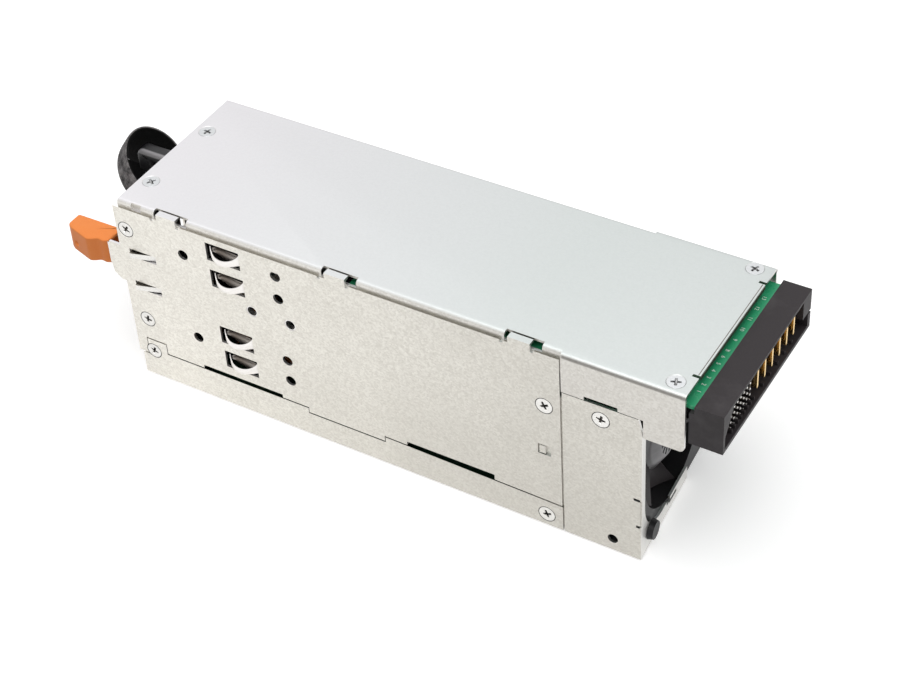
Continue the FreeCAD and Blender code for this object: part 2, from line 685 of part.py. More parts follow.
def fan_bracket():
    """The fan section's sheet: near face, lugs, bottom, far flange and turned end plate."""
    slope = math.tan(math.radians(YAW))
    end_near = BRACKET_END
    end_far = BRACKET_END - slope * WIDTH
    x0 = SEAM + GAP
    near = side_plate(((x0, 0), (x0, SIDE_TOP), (end_near - 1.5, SIDE_TOP),
                       (end_near, SIDE_TOP - 6), (end_near, 0)), NEAR, NEAR_IN)
    lug = box(SEAM - LUG_BACK, SEAM + LUG_AHEAD, NEAR_IN, NEAR_LAP, 2, SIDE_TOP - 3)
    x_a, x_b, z_a, z_b = HOOK_HOLE
    hook = box(SEAM + x_a + 0.6, SEAM + x_b - 2.2, NEAR + 0.1, NEAR_IN, z_a + 0.5, z_b - 0.5)
    strip_x = end_near - slope * PLATE_STRIP_END
    bottom = flat_plate(((x0, NEAR), (x0, FAR), (end_far - 8, FAR), (end_far - 8, NEAR + 46),
                         (strip_x, NEAR + PLATE_STRIP_END), (end_near, NEAR)), 0, SHEET)
    far = box(x0, end_far - 8, FAR_IN, FAR, 0, SIDE_TOP)
    plate = flat_plate(((end_near, NEAR), (strip_x, NEAR + PLATE_STRIP_END),
                        (strip_x - SHEET, NEAR + PLATE_STRIP_END), (end_near - SHEET, NEAR)),
                       0, SIDE_TOP - 6)
    open_y = NEAR + OPENING_MARGIN_SIDE
    window = box(FRONT - 40, FRONT, open_y, FAR, OPENING_MARGIN_BOTTOM, HEIGHT)
    along = vec(1, 0, 0)
    window = window.makeFillet(OPENING_RADIUS, edges_along(
        window, along, lambda p: p.y < 0 and p.z < FAN_CENTRE_Z))
    plate = plate.cut([window])
    a, b, z = PLATE_SLIT
    slits = [box(FRONT - 40, FRONT, NEAR + a, NEAR + b, z, z + 1.4),
             box(FRONT - 40, FRONT, NEAR + a - 2.4, NEAR + a + 0.9, z + 0.9, z + 4)]
    low, high = BEND_NOTCHES
    x1 = end_near + 1
    bends = [box(end_near - BEND_SLIT, x1, NEAR - 1, NEAR + BEND_SLIT, low, high)]
    for z, long in ((low, 2.0), (high, 3.0)):
        bends.append(box(end_near - long, end_near - SHEET / 2, NEAR - 1, NEAR_IN + 0.5,
                         z - BEND_NOTCH_SIZE / 2, z + BEND_NOTCH_SIZE / 2))
    x, z, radius = BRACKET_HOLE
    x += BRACKET_END
    hole = rod(vec(x, NEAR - 1, z), vec(x, NEAR_IN + 1, z), radius)
    bracket = fuse([near, lug, hook, bottom, far, plate.cut(slits)])
    rivets = [on_fan(rod(vec(-5, y, z), vec(5, y, z), FAN_HOLE_RADIUS))
              for y, z in fan_rivet_points()]
    return cut_side_screws(bracket.cut(bends + [hole] + rivets))


def fan_rivet_points():
    """Centres of the push rivets, in the fan's own frame."""
    return [(-FAN_HOLE_PITCH / 2, -FAN_HOLE_PITCH / 2)]


def fan_housing():
    """Square fan frame with its bore, corner holes, spokes, motor seat and bearing tube."""
    half = FAN_SIZE / 2
    body = box(-FAN_DEPTH, 0, -half, half, -half, half)
    body = body.makeFillet(3.0, edges_along(body, vec(1, 0, 0), lambda p: True))
    bore = rod(vec(-FAN_DEPTH - 1, 0, 0), vec(1, 0, 0), BORE_RADIUS)
    waist = box(-FAN_DEPTH + FAN_FRAME_THICK, -FAN_FRAME_THICK, -half - 1, half + 1,
                -half - 1, half + 1)
    waist = waist.cut(rod(vec(-FAN_DEPTH, 0, 0), vec(0, 0, 0), BORE_RADIUS + 1.2))
    pitch = FAN_HOLE_PITCH / 2
    corners = [rod(vec(-FAN_DEPTH - 1, y, z), vec(1, y, z), FAN_HOLE_RADIUS)
               for y in (-pitch, pitch) for z in (-pitch, pitch)]
    frame = body.cut([bore, waist] + corners)
    seat = rod(vec(-FAN_DEPTH, 0, 0), vec(-FAN_DEPTH + 2, 0, 0), HUB_RADIUS)
    spokes = []
    for i in range(FAN_SPOKES):
        spoke = box(-FAN_DEPTH, -FAN_DEPTH + 3, -1.5, 1.5, HUB_RADIUS - 2, BORE_RADIUS + 0.5)
        spoke.rotate(vec(0, 0, 0), vec(1, 0, 0), 45 + 360.0 / FAN_SPOKES * i)
        spokes.append(spoke)
    post = rod(vec(-FAN_DEPTH, 0, 0), vec(HUB_FLOOR - 1, 0, 0), TUBE_RADIUS)
    hollow = rod(vec(-FAN_DEPTH + 1, 0, 0), vec(0, 0, 0), BEARING_RADIUS)
    foot = box(-4, 0, 12, half - 1, -half - FAN_FOOT, -half + 1)
    return on_fan(fuse([frame, seat, post, foot] + spokes).cut(hollow))


def blade_section(height, lead, trail):
    """Outline of a blade at one height: two arcs of equal camber joined at both ends."""
    dx, dy = trail[0] - lead[0], trail[1] - lead[1]
    chord = math.hypot(dx, dy)
    nx, ny = -dy / chord, dx / chord
    arcs = []
    for side in (BLADE_THICK / 2, -BLADE_THICK / 2):
        middle = side + BLADE_CAMBER
        arcs.append([vec(lead[0] + nx * side, lead[1] + ny * side, height),
                     vec((lead[0] + trail[0]) / 2 + nx * middle,
                         (lead[1] + trail[1]) / 2 + ny * middle, height),
                     vec(trail[0] + nx * side, trail[1] + ny * side, height)])
    over, under = arcs
    return Part.Wire([Part.Arc(*over).toShape(), Part.makeLine(over[2], under[2]),
                      Part.Arc(*under[::-1]).toShape(), Part.makeLine(under[0], over[0])])


def fan_blade(turn):
    """One cambered, twisted blade, trimmed to the hub wall and the tip circle."""
    blade = Part.makeLoft([blade_section(*BLADE_FEET), blade_section(*BLADE_TIPS)], True, True)
    ends = (vec(-FAN_DEPTH, 0, 0), vec(0, 0, 0))
    blade = blade.common(tube(ends[0], ends[1], TIP_RADIUS, HUB_RADIUS - HUB_WALL / 2))
    blade.rotate(vec(0, 0, 0), vec(1, 0, 0), turn)
    return blade


def fan_rotor():
    """Cup-shaped hub with a domed, slotted nose and seven cambered blades."""
    nose = -HUB_RECESS
    shoulder = nose - HUB_DOME
    back = -FAN_DEPTH + 4.0
    dome = cone(vec(shoulder, 0, 0), vec(nose, 0, 0), HUB_RADIUS, HUB_NOSE)
    drum = rod(vec(back, 0, 0), vec(shoulder, 0, 0), HUB_RADIUS)
    cup = rod(vec(back - 1, 0, 0), vec(HUB_FLOOR, 0, 0), HUB_RADIUS - HUB_WALL)
    hub = fuse([dome, drum]).cut(cup)
    blades = [fan_blade(360.0 / BLADES * i) for i in range(BLADES)]
    shaft_hole = rod(vec(back - 2, 0, 0), vec(SHAFT_SEAT, 0, 0), SHAFT_RADIUS)
    slots = []
    for i in range(HUB_SLOTS):
        slot = box(HUB_FLOOR - 1, 0, -HUB_SLOT_WIDTH / 2, HUB_SLOT_WIDTH / 2, *HUB_SLOT_REACH)
        slot.rotate(vec(0, 0, 0), vec(1, 0, 0), 360.0 / HUB_SLOTS * i)
        slots.append(slot)
    rotor = fuse([hub] + blades).cut([shaft_hole] + slots)
    return on_fan(rotor)


def fan_shaft():
    """Steel shaft pressed into the hub."""
    return on_fan(rod(vec(-FAN_DEPTH + 2, 0, 0), vec(SHAFT_SEAT, 0, 0), SHAFT_RADIUS))


def fan_bearing():
    """Two bearings in the tube."""
    ends = ((-FAN_DEPTH + 2, -FAN_DEPTH + 6), (HUB_FLOOR - 5, HUB_FLOOR - 1))
    return on_fan(Part.makeCompound([
        tube(vec(a, 0, 0), vec(b, 0, 0), BEARING_RADIUS, SHAFT_RADIUS + SHAFT_CLEARANCE)
        for a, b in ends]))


def fan_stator():
    """Motor windings: a core ring on the tube with four coils."""
    a, b = -FAN_DEPTH + 4.5, HUB_FLOOR - 2.0
    ring = tube(vec(a, 0, 0), vec(b, 0, 0), 8.5, TUBE_RADIUS)
    poles = []
    for i in range(4):
        pole = box(a + 0.8, b - 0.8, -3.2, 3.2, 8.0, HUB_RADIUS - HUB_WALL - 1.5)
        pole.rotate(vec(0, 0, 0), vec(1, 0, 0), 90 * i)
        poles.append(pole)
    return on_fan(fuse([ring] + poles))


def fan_rivets():
    """Push rivet holding the fan's lower near corner to the plate."""
    shapes = []
    for y, z in fan_rivet_points():
        shank = rod(vec(-7, y, z), vec(SHEET, y, z), FAN_HOLE_RADIUS - 0.05)
        head = cone(vec(SHEET, y, z), vec(SHEET + PUSH_RIVET_HEAD, y, z), PUSH_RIVET_RADIUS,
                    PUSH_RIVET_RADIUS - 0.5)
        shapes.append(on_fan(fuse([shank, head])))
    return Part.makeCompound(shapes)


def standoff_points():
    """Centres of the main board's standoffs."""
    xs = (REAR + STANDOFF_INSET_X, 0.0, SEAM - STANDOFF_INSET_X)
    ys = (NEAR + STANDOFF_INSET_Y, FAR - STANDOFF_INSET_Y)
    return [(x, y) for x in xs for y in ys]


def board_standoffs():
    """Pillars pressed in the case bottom."""
    return Part.makeCompound([
        tube(vec(x, y, SHEET), vec(x, y, MAIN_BOARD_Z), STANDOFF_RADIUS, SCREW_RADIUS + 0.05)
        for x, y in standoff_points()])


def board_screws():
    """Pan-head screws clamping the main board on its standoffs."""
    shapes = []
    top = MAIN_BOARD_Z + BOARD
    for x, y in standoff_points():
        shank = rod(vec(x, y, SHEET + 0.5), vec(x, y, top), SCREW_RADIUS)
        head = cone(vec(x, y, top), vec(x, y, top + 1.6), 2.6, 2.0)
        shapes.append(fuse([shank, head]))
    return Part.makeCompound(shapes)


def main_board():
    """Lower circuit board."""
    board = box(REAR + 6, SEAM - 3, NEAR_IN + BOARD_INSET, FAR_IN - BOARD_INSET,
                MAIN_BOARD_Z, MAIN_BOARD_Z + BOARD)
    return board.cut([rod(vec(x, y, 0), vec(x, y, 20), SCREW_RADIUS + SCREW_CLEARANCE)
                      for x, y in standoff_points()])


def insulating_sheet():
    """Film on the case bottom under the main board."""
    film = box(REAR + 4, SEAM - 2, NEAR_IN + 1.2, FAR_IN - 1.2, SHEET, SHEET + INSULATION)
    return film.cut([rod(vec(x, y, 0), vec(x, y, 5), STANDOFF_RADIUS + 0.3)
                     for x, y in standoff_points()])


def output_board():
    """Upper circuit board under the cover, which carries the output connector."""
    board = box(REAR + OUTPUT_BOARD_START, FRONT + OUTPUT_BOARD_BEYOND, NEAR_LAP + 0.4,
                FAR_LAP - 0.4, OUTPUT_BOARD_TOP - BOARD, OUTPUT_BOARD_TOP)
    return board.cut([rod(vec(p.x, p.y, 0), vec(p.x, p.y, 200), SCREW_RADIUS + SCREW_CLEARANCE)
                      for p in cover_screw_points()])


def board_spacers():
    """Short pillars between the cover's dimples and the output board."""
    shapes = []
    for p in cover_screw_points()[len(COVER_SCREWS_REAR):]:
        shapes.append(tube(vec(p.x, p.y, OUTPUT_BOARD_TOP), vec(p.x, p.y, rear_flange_top()),
                           2.3, SCREW_RADIUS + SCREW_CLEARANCE))
    return Part.makeCompound(shapes)


def dc_connector():
    """Moulded output connector: open mouth, three deeper rooms, comb ribs and a keyed end."""
    x0, x1 = FRONT + CONNECTOR_START, FRONT + CONNECTOR_END
    body = box(x0, x1, CONNECTOR_NEAR, CONNECTOR_FAR, CONNECTOR_BOTTOM, CONNECTOR_TOP)
    ledge = box(x0 - CONNECTOR_LEDGE, x0, CONNECTOR_NEAR, CONNECTOR_FAR, CONNECTOR_BOTTOM,
                OUTPUT_BOARD_TOP - BOARD)
    wall = CONNECTOR_WALL
    y0, y1 = CONNECTOR_NEAR + CONNECTOR_END_WALL, CONNECTOR_FAR - CONNECTOR_FAR_WALL
    z0, z1 = CONNECTOR_BOTTOM + wall, CONNECTOR_TOP - CONNECTOR_TOP_WALL
    across, drop = CONNECTOR_BEVEL
    y_step, z_step = CONNECTOR_FAR - CONNECTOR_STEP[0], CONNECTOR_TOP - CONNECTOR_STEP[1]
    outline = ((y0, z0), (y0, z1 - drop), (y0 + across, z1), (y_step, z1), (y_step, z_step),
               (y1, z_step), (y1, z0))
    guide = y1 - GUIDE_WIDTH
    rooms = [end_plate(outline, x1 - CONNECTOR_MOUTH, x1 + 1)]
    for a, b in ((y0 + wall, POWER_START - wall), (POWER_START, guide - GUIDE_WALL), (guide, y1)):
        rooms.append(end_plate(outline, x1 - CONNECTOR_RECESS, x1).common(
            box(x1 - CONNECTOR_RECESS, x1, a, b, z0, z1)))
    length, height = KEY_NOTCH
    rooms.append(box(x1 - length, x1 + 1, y1 - 1, CONNECTOR_FAR + 1, z_step - height, z_step))
    body = fuse([body, ledge]).cut(rooms)
    ribs = [box(x1 - CONNECTOR_RECESS, x1 - RIB_SETBACK, y - RIB_THICK / 2, y + RIB_THICK / 2,
                z0, z0 + RIB_HEIGHT) for y in rib_places()]
    holes = [grown(s, 0.05) for s in power_blades() + signal_pins()]
    return fuse([body] + ribs).cut(holes)


def rib_places():
    """Where the comb ribs stand across the connector's floor."""
    power = [POWER_START + POWER_PITCH * i for i in range(1, POWER_COUNT)]
    signal = [SIGNAL_START + SIGNAL_PITCH * (i - 0.5) for i in range(SIGNAL_COLUMNS + 1)]
    return power + signal


def grown(limits, by):
    """Return a box whose cross-section is larger all round."""
    x0, x1, y0, y1, z0, z1 = limits
    return box(x0 - by, x1 + by, y0 - by, y1 + by, z0 - by, z1 + by)


def power_blades():
    """Limits of the power blades: two leaves, one each side, at each place."""
    x0 = FRONT + CONNECTOR_START - POWER_TAIL
    x1 = FRONT + CONNECTOR_END - POWER_SETBACK
    limits = []
    mid = (CONNECTOR_BOTTOM + CONNECTOR_TOP) / 2
    for i in range(POWER_COUNT):
        y = POWER_START + POWER_PITCH * (i + 0.5)
        for a, b in ((-POWER_BLADE - POWER_GAP, -POWER_GAP), (POWER_GAP, POWER_BLADE + POWER_GAP)):
            limits.append((x0, x1, y + a, y + b, mid - POWER_BELOW, mid + POWER_ABOVE))
    return limits


def signal_pins():
    """Limits of the signal pins, in level rows."""
    x0 = FRONT + CONNECTOR_START - CONNECTOR_LEDGE - 1.0
    x1 = FRONT + CONNECTOR_END - SIGNAL_SETBACK
    limits = []
    half = SIGNAL_SIZE / 2
    for i in range(SIGNAL_COLUMNS):
        for j in range(SIGNAL_ROWS):
            y = SIGNAL_START + SIGNAL_PITCH * i
            z = CONNECTOR_BOTTOM + SIGNAL_LOWEST + SIGNAL_PITCH * j
            limits.append((x0, x1, y - half, y + half, z - half, z + half))
    return limits


def power_contacts():
    """All power blades."""
    return Part.makeCompound([box(*b) for b in power_blades()])


def signal_contacts():
    """All signal pins."""
    return Part.makeCompound([box(*b) for b in signal_pins()])


def ac_inlet():
    """Recessed mains inlet with its outer flange."""
    half_y, half_z = INLET_WIDTH / 2, INLET_HEIGHT / 2
    flange = box(REAR - INLET_FLANGE, REAR, INLET_Y - half_y - 2, INLET_Y + half_y + 2,
                 INLET_Z - half_z - 2, INLET_Z + half_z + 2)
    flange = flange.makeFillet(2.5, edges_along(flange, vec(1, 0, 0), lambda p: True))
    body = box(REAR - 0.1, REAR + INLET_DEPTH, INLET_Y - half_y, INLET_Y + half_y,
               INLET_Z - half_z, INLET_Z + half_z)
    inner = prism([(REAR - 3, INLET_Y + y, INLET_Z + z) for y, z in inlet_profile()],
                  (INLET_CAVITY + 3, 0, 0))
    pins = [grown(b, 0.02) for b in inlet_pin_limits()]
    return fuse([flange, body]).cut([inner] + pins)


def inlet_profile():
    """Outline of the inlet's cavity: a rectangle with two upper corners cut off."""
    y, z = INLET_WIDTH / 2 - INLET_WALL, INLET_HEIGHT / 2 - INLET_WALL
    return ((-y, -z), (y, -z), (y, z - 5), (y - 5, z), (-y + 5, z), (-y, z - 5))


def inlet_pin_limits():
    """Limits of the inlet's three pins."""
    limits = []
    for y, z in ((-PIN_PITCH, -PIN_OFFSET), (PIN_PITCH, -PIN_OFFSET), (0, PIN_OFFSET)):
        limits.append((REAR + 1.5, REAR + INLET_DEPTH + 5, INLET_Y + y - 1, INLET_Y + y + 1,
                       INLET_Z + z - 2, INLET_Z + z + 2))
    return limits


def inlet_pins():
    """Three flat pins."""
    return Part.makeCompound([box(*b) for b in inlet_pin_limits()])


def handle_screw_heights():
    """Heights of the screws holding the handle's legs."""
    return (HANDLE_BOTTOM + HANDLE_LEG / 2, HANDLE_TOP - HANDLE_LEG / 2)


def handle():
    """D-shaped pull handle standing on the rear panel."""
    y0, y1 = HANDLE_Y - HANDLE_THICK / 2, HANDLE_Y + HANDLE_THICK / 2
    outer = box(REAR - HANDLE_REACH, REAR, y0, y1, HANDLE_BOTTOM, HANDLE_TOP)
    across = vec(0, 1, 0)
    outer = outer.makeFillet(HANDLE_BEND, edges_along(outer, across, lambda p: p.x < REAR - 1))
    inner = box(REAR - HANDLE_REACH + HANDLE_GRIP, REAR + 1, y0 - 1, y1 + 1,
                HANDLE_BOTTOM + HANDLE_LEG, HANDLE_TOP - HANDLE_LEG)
    inner = inner.makeFillet(HANDLE_BEND / 2, edges_along(inner, across, lambda p: p.x < REAR - 1))
    holes = [rod(vec(REAR - 9, HANDLE_Y, z), vec(REAR + 1, HANDLE_Y, z), 1.45)
             for z in handle_screw_heights()]
    return outer.cut([inner] + holes)


def handle_screws():
    """Screws from inside the rear panel into the handle's legs."""
    shapes = []
    for z in handle_screw_heights():
        shank = rod(vec(REAR - 8, HANDLE_Y, z), vec(REAR + SHEET, HANDLE_Y, z), 1.4)
        head = rod(vec(REAR + SHEET, HANDLE_Y, z), vec(REAR + SHEET + 1.6, HANDLE_Y, z), 2.5)
        shapes.append(fuse([shank, head]))
    return Part.makeCompound(shapes)


def cord_strap():
    """Soft hook-and-loop ring hung round the upper corner of the handle."""
    centre, up = vec(0, 0, -STRAP_WIDTH / 2), vec(0, 0, 1)
    solids = []
    for grow in (STRAP_THICK / 2, -STRAP_THICK / 2):
        curve = Part.Ellipse(centre, STRAP_MAJOR + grow, STRAP_MINOR + grow)
        face = Part.Face(Part.Wire([curve.toShape()]))
        solids.append(face.extrude(up * STRAP_WIDTH))
    ring = solids[0].cut(solids[1])
    ring.rotate(vec(0, 0, 0), up, 90 + STRAP_TILT)
    ring.rotate(vec(0, 0, 0), vec(0, 1, 0), STRAP_LEAN)
    ring.translate(vec(REAR + STRAP_CENTRE[0], STRAP_CENTRE[1], STRAP_CENTRE[2]))
    return ring


def lens_y():
    """Place of the status light across the rear panel."""
    return FAR - VENT_MARGIN


def status_lens():
    """Small light pipe in the rear panel."""
    y = lens_y()
    shank = rod(vec(REAR - 0.2, y, LENS_Z), vec(REAR + 6, y, LENS_Z), LENS_RADIUS)
    dome = rod(vec(REAR - 1.0, y, LENS_Z), vec(REAR - 0.2, y, LENS_Z), LENS_RADIUS - 0.3)
    return fuse([shank, dome])


def deck():
    """Height of the main board's top face."""
    return MAIN_BOARD_Z + BOARD


def bulk_capacitors():
    """Two large standing capacitors."""
    x = REAR + BULK_FROM_REAR
    return Part.makeCompound([
        rod(vec(x, y, deck()), vec(x, y, deck() + BULK_HEIGHT), BULK_RADIUS)
        for y in (-BULK_SPREAD, BULK_SPREAD)])


def input_filter_choke():
    """Wound ring lying on the board behind the inlet."""
    x, y, outer, inner, height = FILTER_CHOKE
    a, b = vec(REAR + x, y, deck() + CHOKE_FOOT), vec(REAR + x, y, deck() + CHOKE_FOOT + height)
    foot = box(REAR + x - 4, REAR + x + 4, y - outer + 1, y - inner - 1, deck(),
               deck() + CHOKE_FOOT)
    return fuse([tube(a, b, outer, inner), foot])


def input_filter_capacitor():
    """Block capacitor."""
    x0, x1, y0, y1, height = FILTER_BLOCK
    return box(REAR + x0, REAR + x1, y0, y1, deck(), deck() + height)


def power_factor_choke():
    """Large wound ring standing on the board."""
    x, y, outer, inner, thick = PFC_CHOKE
    z = deck() + CHOKE_FOOT + outer
    ring = tube(vec(REAR + x, y - thick / 2, z), vec(REAR + x, y + thick / 2, z), outer, inner)
    foot = box(REAR + x - inner, REAR + x + inner, y - thick / 2, y + thick / 2, deck(),
               deck() + 2 * CHOKE_FOOT)
    return fuse([ring, foot])


def input_fuse():
    """Cartridge fuse between two end caps."""
    x, y0, y1 = FUSE
    x, z = REAR + x, deck() + FUSE_LIFT
    barrel = rod(vec(x, y0, z), vec(x, y1, z), FUSE_RADIUS)
    starts = (y0, y1 - FUSE_CAP)
    caps = [rod(vec(x, a, z), vec(x, a + FUSE_CAP, z), FUSE_RADIUS + 0.4) for a in starts]
    feet = [box(x - 1, x + 1, a + 1, a + 4, deck(), z - 1) for a in starts]
    return fuse([barrel] + caps + feet)


def comb(x0, x1, y, side):
    """A heat sink: upright plate with level fins to one side."""
    top = deck() + SINK_HEIGHT
    plate = box(x0, x1, y - SINK_PLATE / 2, y + SINK_PLATE / 2, deck(), top)
    fins = []
    for i in range(SINK_FINS):
        z = top - 2 - SINK_PITCH * i
        y0, y1 = sorted((y, y + side * SINK_REACH))
        fins.append(box(x0, x1, y0, y1, z - SINK_FIN, z))
    return fuse([plate] + fins)


def primary_heatsink():
    """Heat sink of the input switches."""
    return comb(REAR + PRIMARY_SINK[0], REAR + PRIMARY_SINK[1], -SINK_SIDE, -1)


def secondary_heatsink():
    """Heat sink of the output switches."""
    return comb(REAR + SECONDARY_SINK[0], REAR + SECONDARY_SINK[1], SINK_SIDE, 1)


def power_transistors():
    """Flat packages clamped on the two heat sinks, with their leads."""
    thick, height = PACKAGE
    face = SINK_SIDE - SINK_PLATE / 2
    z0 = deck() + PACKAGE_LIFT
    shapes = []
    for sink, y, side in ((PRIMARY_SINK, -face, 1), (SECONDARY_SINK, face, -1)):
        pitch = (sink[1] - sink[0]) / (PACKAGES_PER_SINK + 0.5)
        width = pitch * PACKAGE_SHARE
        lead_y = y + side * thick / 2
        for i in range(PACKAGES_PER_SINK):
            x = REAR + sink[0] + pitch * (i + 0.4)
            y0, y1 = sorted((y, y + side * thick))
            body = box(x, x + width, y0, y1, z0, z0 + height)
            leads = []
            for k in (-1, 0, 1):
                lead_x = x + width / 2 + width * LEAD_SHARE * k
                leads.append(box(lead_x - LEAD / 2, lead_x + LEAD / 2, lead_y - LEAD / 2,
                                 lead_y + LEAD / 2, deck(), z0 + 1))
            shapes.append(fuse([body] + leads))
    return Part.makeCompound(shapes)


def core_rooms(x0, x1, z0):
    """Limits of the two rooms in the core, each side of its middle limb."""
    y0, y1, height = CORE[2:]
    z_a, z_b = z0 + CORE_YOKE, z0 + height - CORE_YOKE
    return [(x0, x1, y0 + CORE_LIMB, y0 + CORE_LIMB + CORE_ROOM, z_a, z_b),
            (x0, x1, y1 - CORE_LIMB - CORE_ROOM, y1 - CORE_LIMB, z_a, z_b)]


def transformer_core():
    """Ferrite frame of the main transformer."""
    z0 = deck() + CORE_LIFT
    x0, x1, y0, y1, height = CORE
    shell = box(REAR + x0, REAR + x1, y0, y1, z0, z0 + height)
    foot = box(REAR + x0, REAR + x1, y0, y0 + CORE_FOOT, deck(), z0)
    rooms = [box(*r) for r in core_rooms(REAR + x0 - 1, REAR + x1 + 1, z0)]
    return fuse([shell, foot]).cut(rooms)


def transformer_winding():
    """Winding and bobbin round the core's middle limb."""
    z0 = deck() + CORE_LIFT
    x0, x1 = REAR + CORE[0], REAR + CORE[1]
    first, second = core_rooms(x0, x1, z0)
    coil = box(x0 - COIL_OVERHANG, x1 + COIL_OVERHANG, first[2] + COIL_CLEAR,
               second[3] - COIL_CLEAR, first[4] + COIL_CLEAR, first[5] - COIL_CLEAR)
    limb = box(x0 - 0.1, x1 + 0.1, first[3] - 0.1, second[2] + 0.1, z0, z0 + CORE[4])
    return coil.cut(limb)


def output_capacitors():
    """Cans hanging under the output board."""
    top = OUTPUT_BOARD_TOP - BOARD
    shapes = []
    for i in range(OUTPUT_CAN_COUNT):
        x = SEAM - OUTPUT_CAN_PITCH * (i + 0.5)
        for y in (-OUTPUT_CAN_ROW, OUTPUT_CAN_ROW):
            shapes.append(rod(vec(x, y, top - OUTPUT_CAN_HEIGHT), vec(x, y, top),
                              OUTPUT_CAN_RADIUS))
    return Part.makeCompound(shapes)


def side_screws():
    """All screws in the near side."""
    return Part.makeCompound([screw(p, vec(0, 1, 0)) for p in side_screw_points()])


def cover_screws():
    """All screws in the cover."""
    return Part.makeCompound([screw(p, vec(0, 0, -1), COVER_SCREW_LENGTH)
                              for p in cover_screw_points()])


NODES = {
    "chassis": chassis,
    "near_side_panel": near_side_panel,
    "top_cover": top_cover,
    "rear_panel": rear_panel,
    "latch_base": latch_base,
    "latch_rivets": latch_rivets,
    "latch_arm": latch_arm,
    "release_tab": release_tab,
    "grounding_springs": grounding_springs,
    "fan_bracket": fan_bracket,
    "fan_housing": fan_housing,
    "fan_rotor": fan_rotor,
    "fan_shaft": fan_shaft,
    "fan_bearing": fan_bearing,
    "fan_stator": fan_stator,
    "fan_rivets": fan_rivets,
    "board_standoffs": board_standoffs,
    "board_screws": board_screws,
    "main_board": main_board,
    "insulating_sheet": insulating_sheet,
    "output_board": output_board,
    "board_spacers": board_spacers,
    "dc_connector": dc_connector,
    "power_contacts": power_contacts,
    "signal_contacts": signal_contacts,
    "ac_inlet": ac_inlet,
    "inlet_pins": inlet_pins,
    "handle": handle,
    "handle_screws": handle_screws,
    "cord_strap": cord_strap,
    "status_lens": status_lens,
    "bulk_capacitors": bulk_capacitors,
    "input_filter_choke": input_filter_choke,
    "input_filter_capacitor": input_filter_capacitor,
    "power_factor_choke": power_factor_choke,
    "input_fuse": input_fuse,
    "primary_heatsink": primary_heatsink,
    "secondary_heatsink": secondary_heatsink,
    "power_transistors": power_transistors,
    "transformer_core": transformer_core,
    "transformer_winding": transformer_winding,
    "output_capacitors": output_capacitors,
    "side_screws": side_screws,
    "cover_screws": cover_screws,
}

os.makedirs("parts", exist_ok=True)
for name, make in NODES.items():
    shape = make()
    shape.exportStep("parts/" + name + ".step")
    limits = shape.BoundBox
    print(name, len(shape.Solids), shape.isValid(), round(shape.Volume, 1),
          [round(v, 1) for v in (limits.XMin, limits.XMax, limits.YMin, limits.YMax,
                                 limits.ZMin, limits.ZMax)])
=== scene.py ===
import bmesh
import bpy
import json
import math
import numpy as np
from mathutils import Matrix, Vector


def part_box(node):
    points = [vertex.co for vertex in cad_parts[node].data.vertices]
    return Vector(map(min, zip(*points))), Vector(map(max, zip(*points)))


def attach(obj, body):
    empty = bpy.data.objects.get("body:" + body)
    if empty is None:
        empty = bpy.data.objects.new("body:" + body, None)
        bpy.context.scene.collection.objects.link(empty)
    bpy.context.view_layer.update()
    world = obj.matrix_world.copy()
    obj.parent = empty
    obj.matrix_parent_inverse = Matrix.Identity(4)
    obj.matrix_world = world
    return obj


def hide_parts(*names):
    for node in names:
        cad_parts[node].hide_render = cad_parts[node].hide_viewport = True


MM = 0.001
# Distances, in metres, at which two points are one and an edge has no length.
SAME_POINT = 1e-6
SAME_CAD_POINT = 2e-6
NO_LENGTH = 1e-7
FLAT_ANGLE = math.radians(0.5)
EASED_ANGLE = math.radians(35)
SHARP_ANGLE = math.radians(50)

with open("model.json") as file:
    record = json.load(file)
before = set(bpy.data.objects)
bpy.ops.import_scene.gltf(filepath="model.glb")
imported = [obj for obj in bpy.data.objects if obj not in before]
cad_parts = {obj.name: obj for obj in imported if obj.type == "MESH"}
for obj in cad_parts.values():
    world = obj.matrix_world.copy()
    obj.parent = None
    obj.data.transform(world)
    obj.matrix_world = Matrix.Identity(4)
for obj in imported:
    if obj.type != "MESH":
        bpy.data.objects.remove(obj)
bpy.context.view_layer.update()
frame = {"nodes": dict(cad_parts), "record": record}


# ---------------------------------------------------------------- meshes

def grid_faces(rows, columns, wrap_rows=False, wrap_columns=False):
    """Quads joining neighbours of a rows x columns grid, closing round where asked."""
    i = np.arange(rows if wrap_rows else rows - 1)
    j = np.arange(columns if wrap_columns else columns - 1)
    i, j = np.meshgrid(i, j, indexing="ij")
    a, b = i * columns + j, i * columns + (j + 1) % columns
    c, d = ((i + 1) % rows) * columns + (j + 1) % columns, ((i + 1) % rows) * columns + j
    return np.stack([a, b, c, d], axis=-1).reshape(-1, 4)


def sheet(points, wrap_rows=False, wrap_columns=False):
    """A surface part (vertices, quads) from a grid of points shaped rows x columns x 3."""
    rows, columns = points.shape[:2]
    return points.reshape(-1, 3), grid_faces(rows, columns, wrap_rows, wrap_columns)


def ring_sheet(points):
    """A surface part that closes both ways, such as a ring or a tube bent round."""
    return sheet(points, wrap_rows=True, wrap_columns=True)


def capped_sheet(rows):
    """A closed surface part from a row of closed rings, with both ends filled to a middle
    point."""
    ends = [np.repeat(ring.mean(axis=0)[None], rows.shape[1], axis=0) for ring in rows[[0, -1]]]
    return sheet(np.concatenate([ends[0][None], rows, ends[1][None]]), wrap_columns=True)


def gather(parts):
    """One (vertices, quads) pair from several."""
    vertices, faces, start = [], [], 0
    for v, f in parts:
        vertices.append(v)
        faces.append(f + start)
        start += len(v)
    return np.concatenate(vertices), np.concatenate(faces)


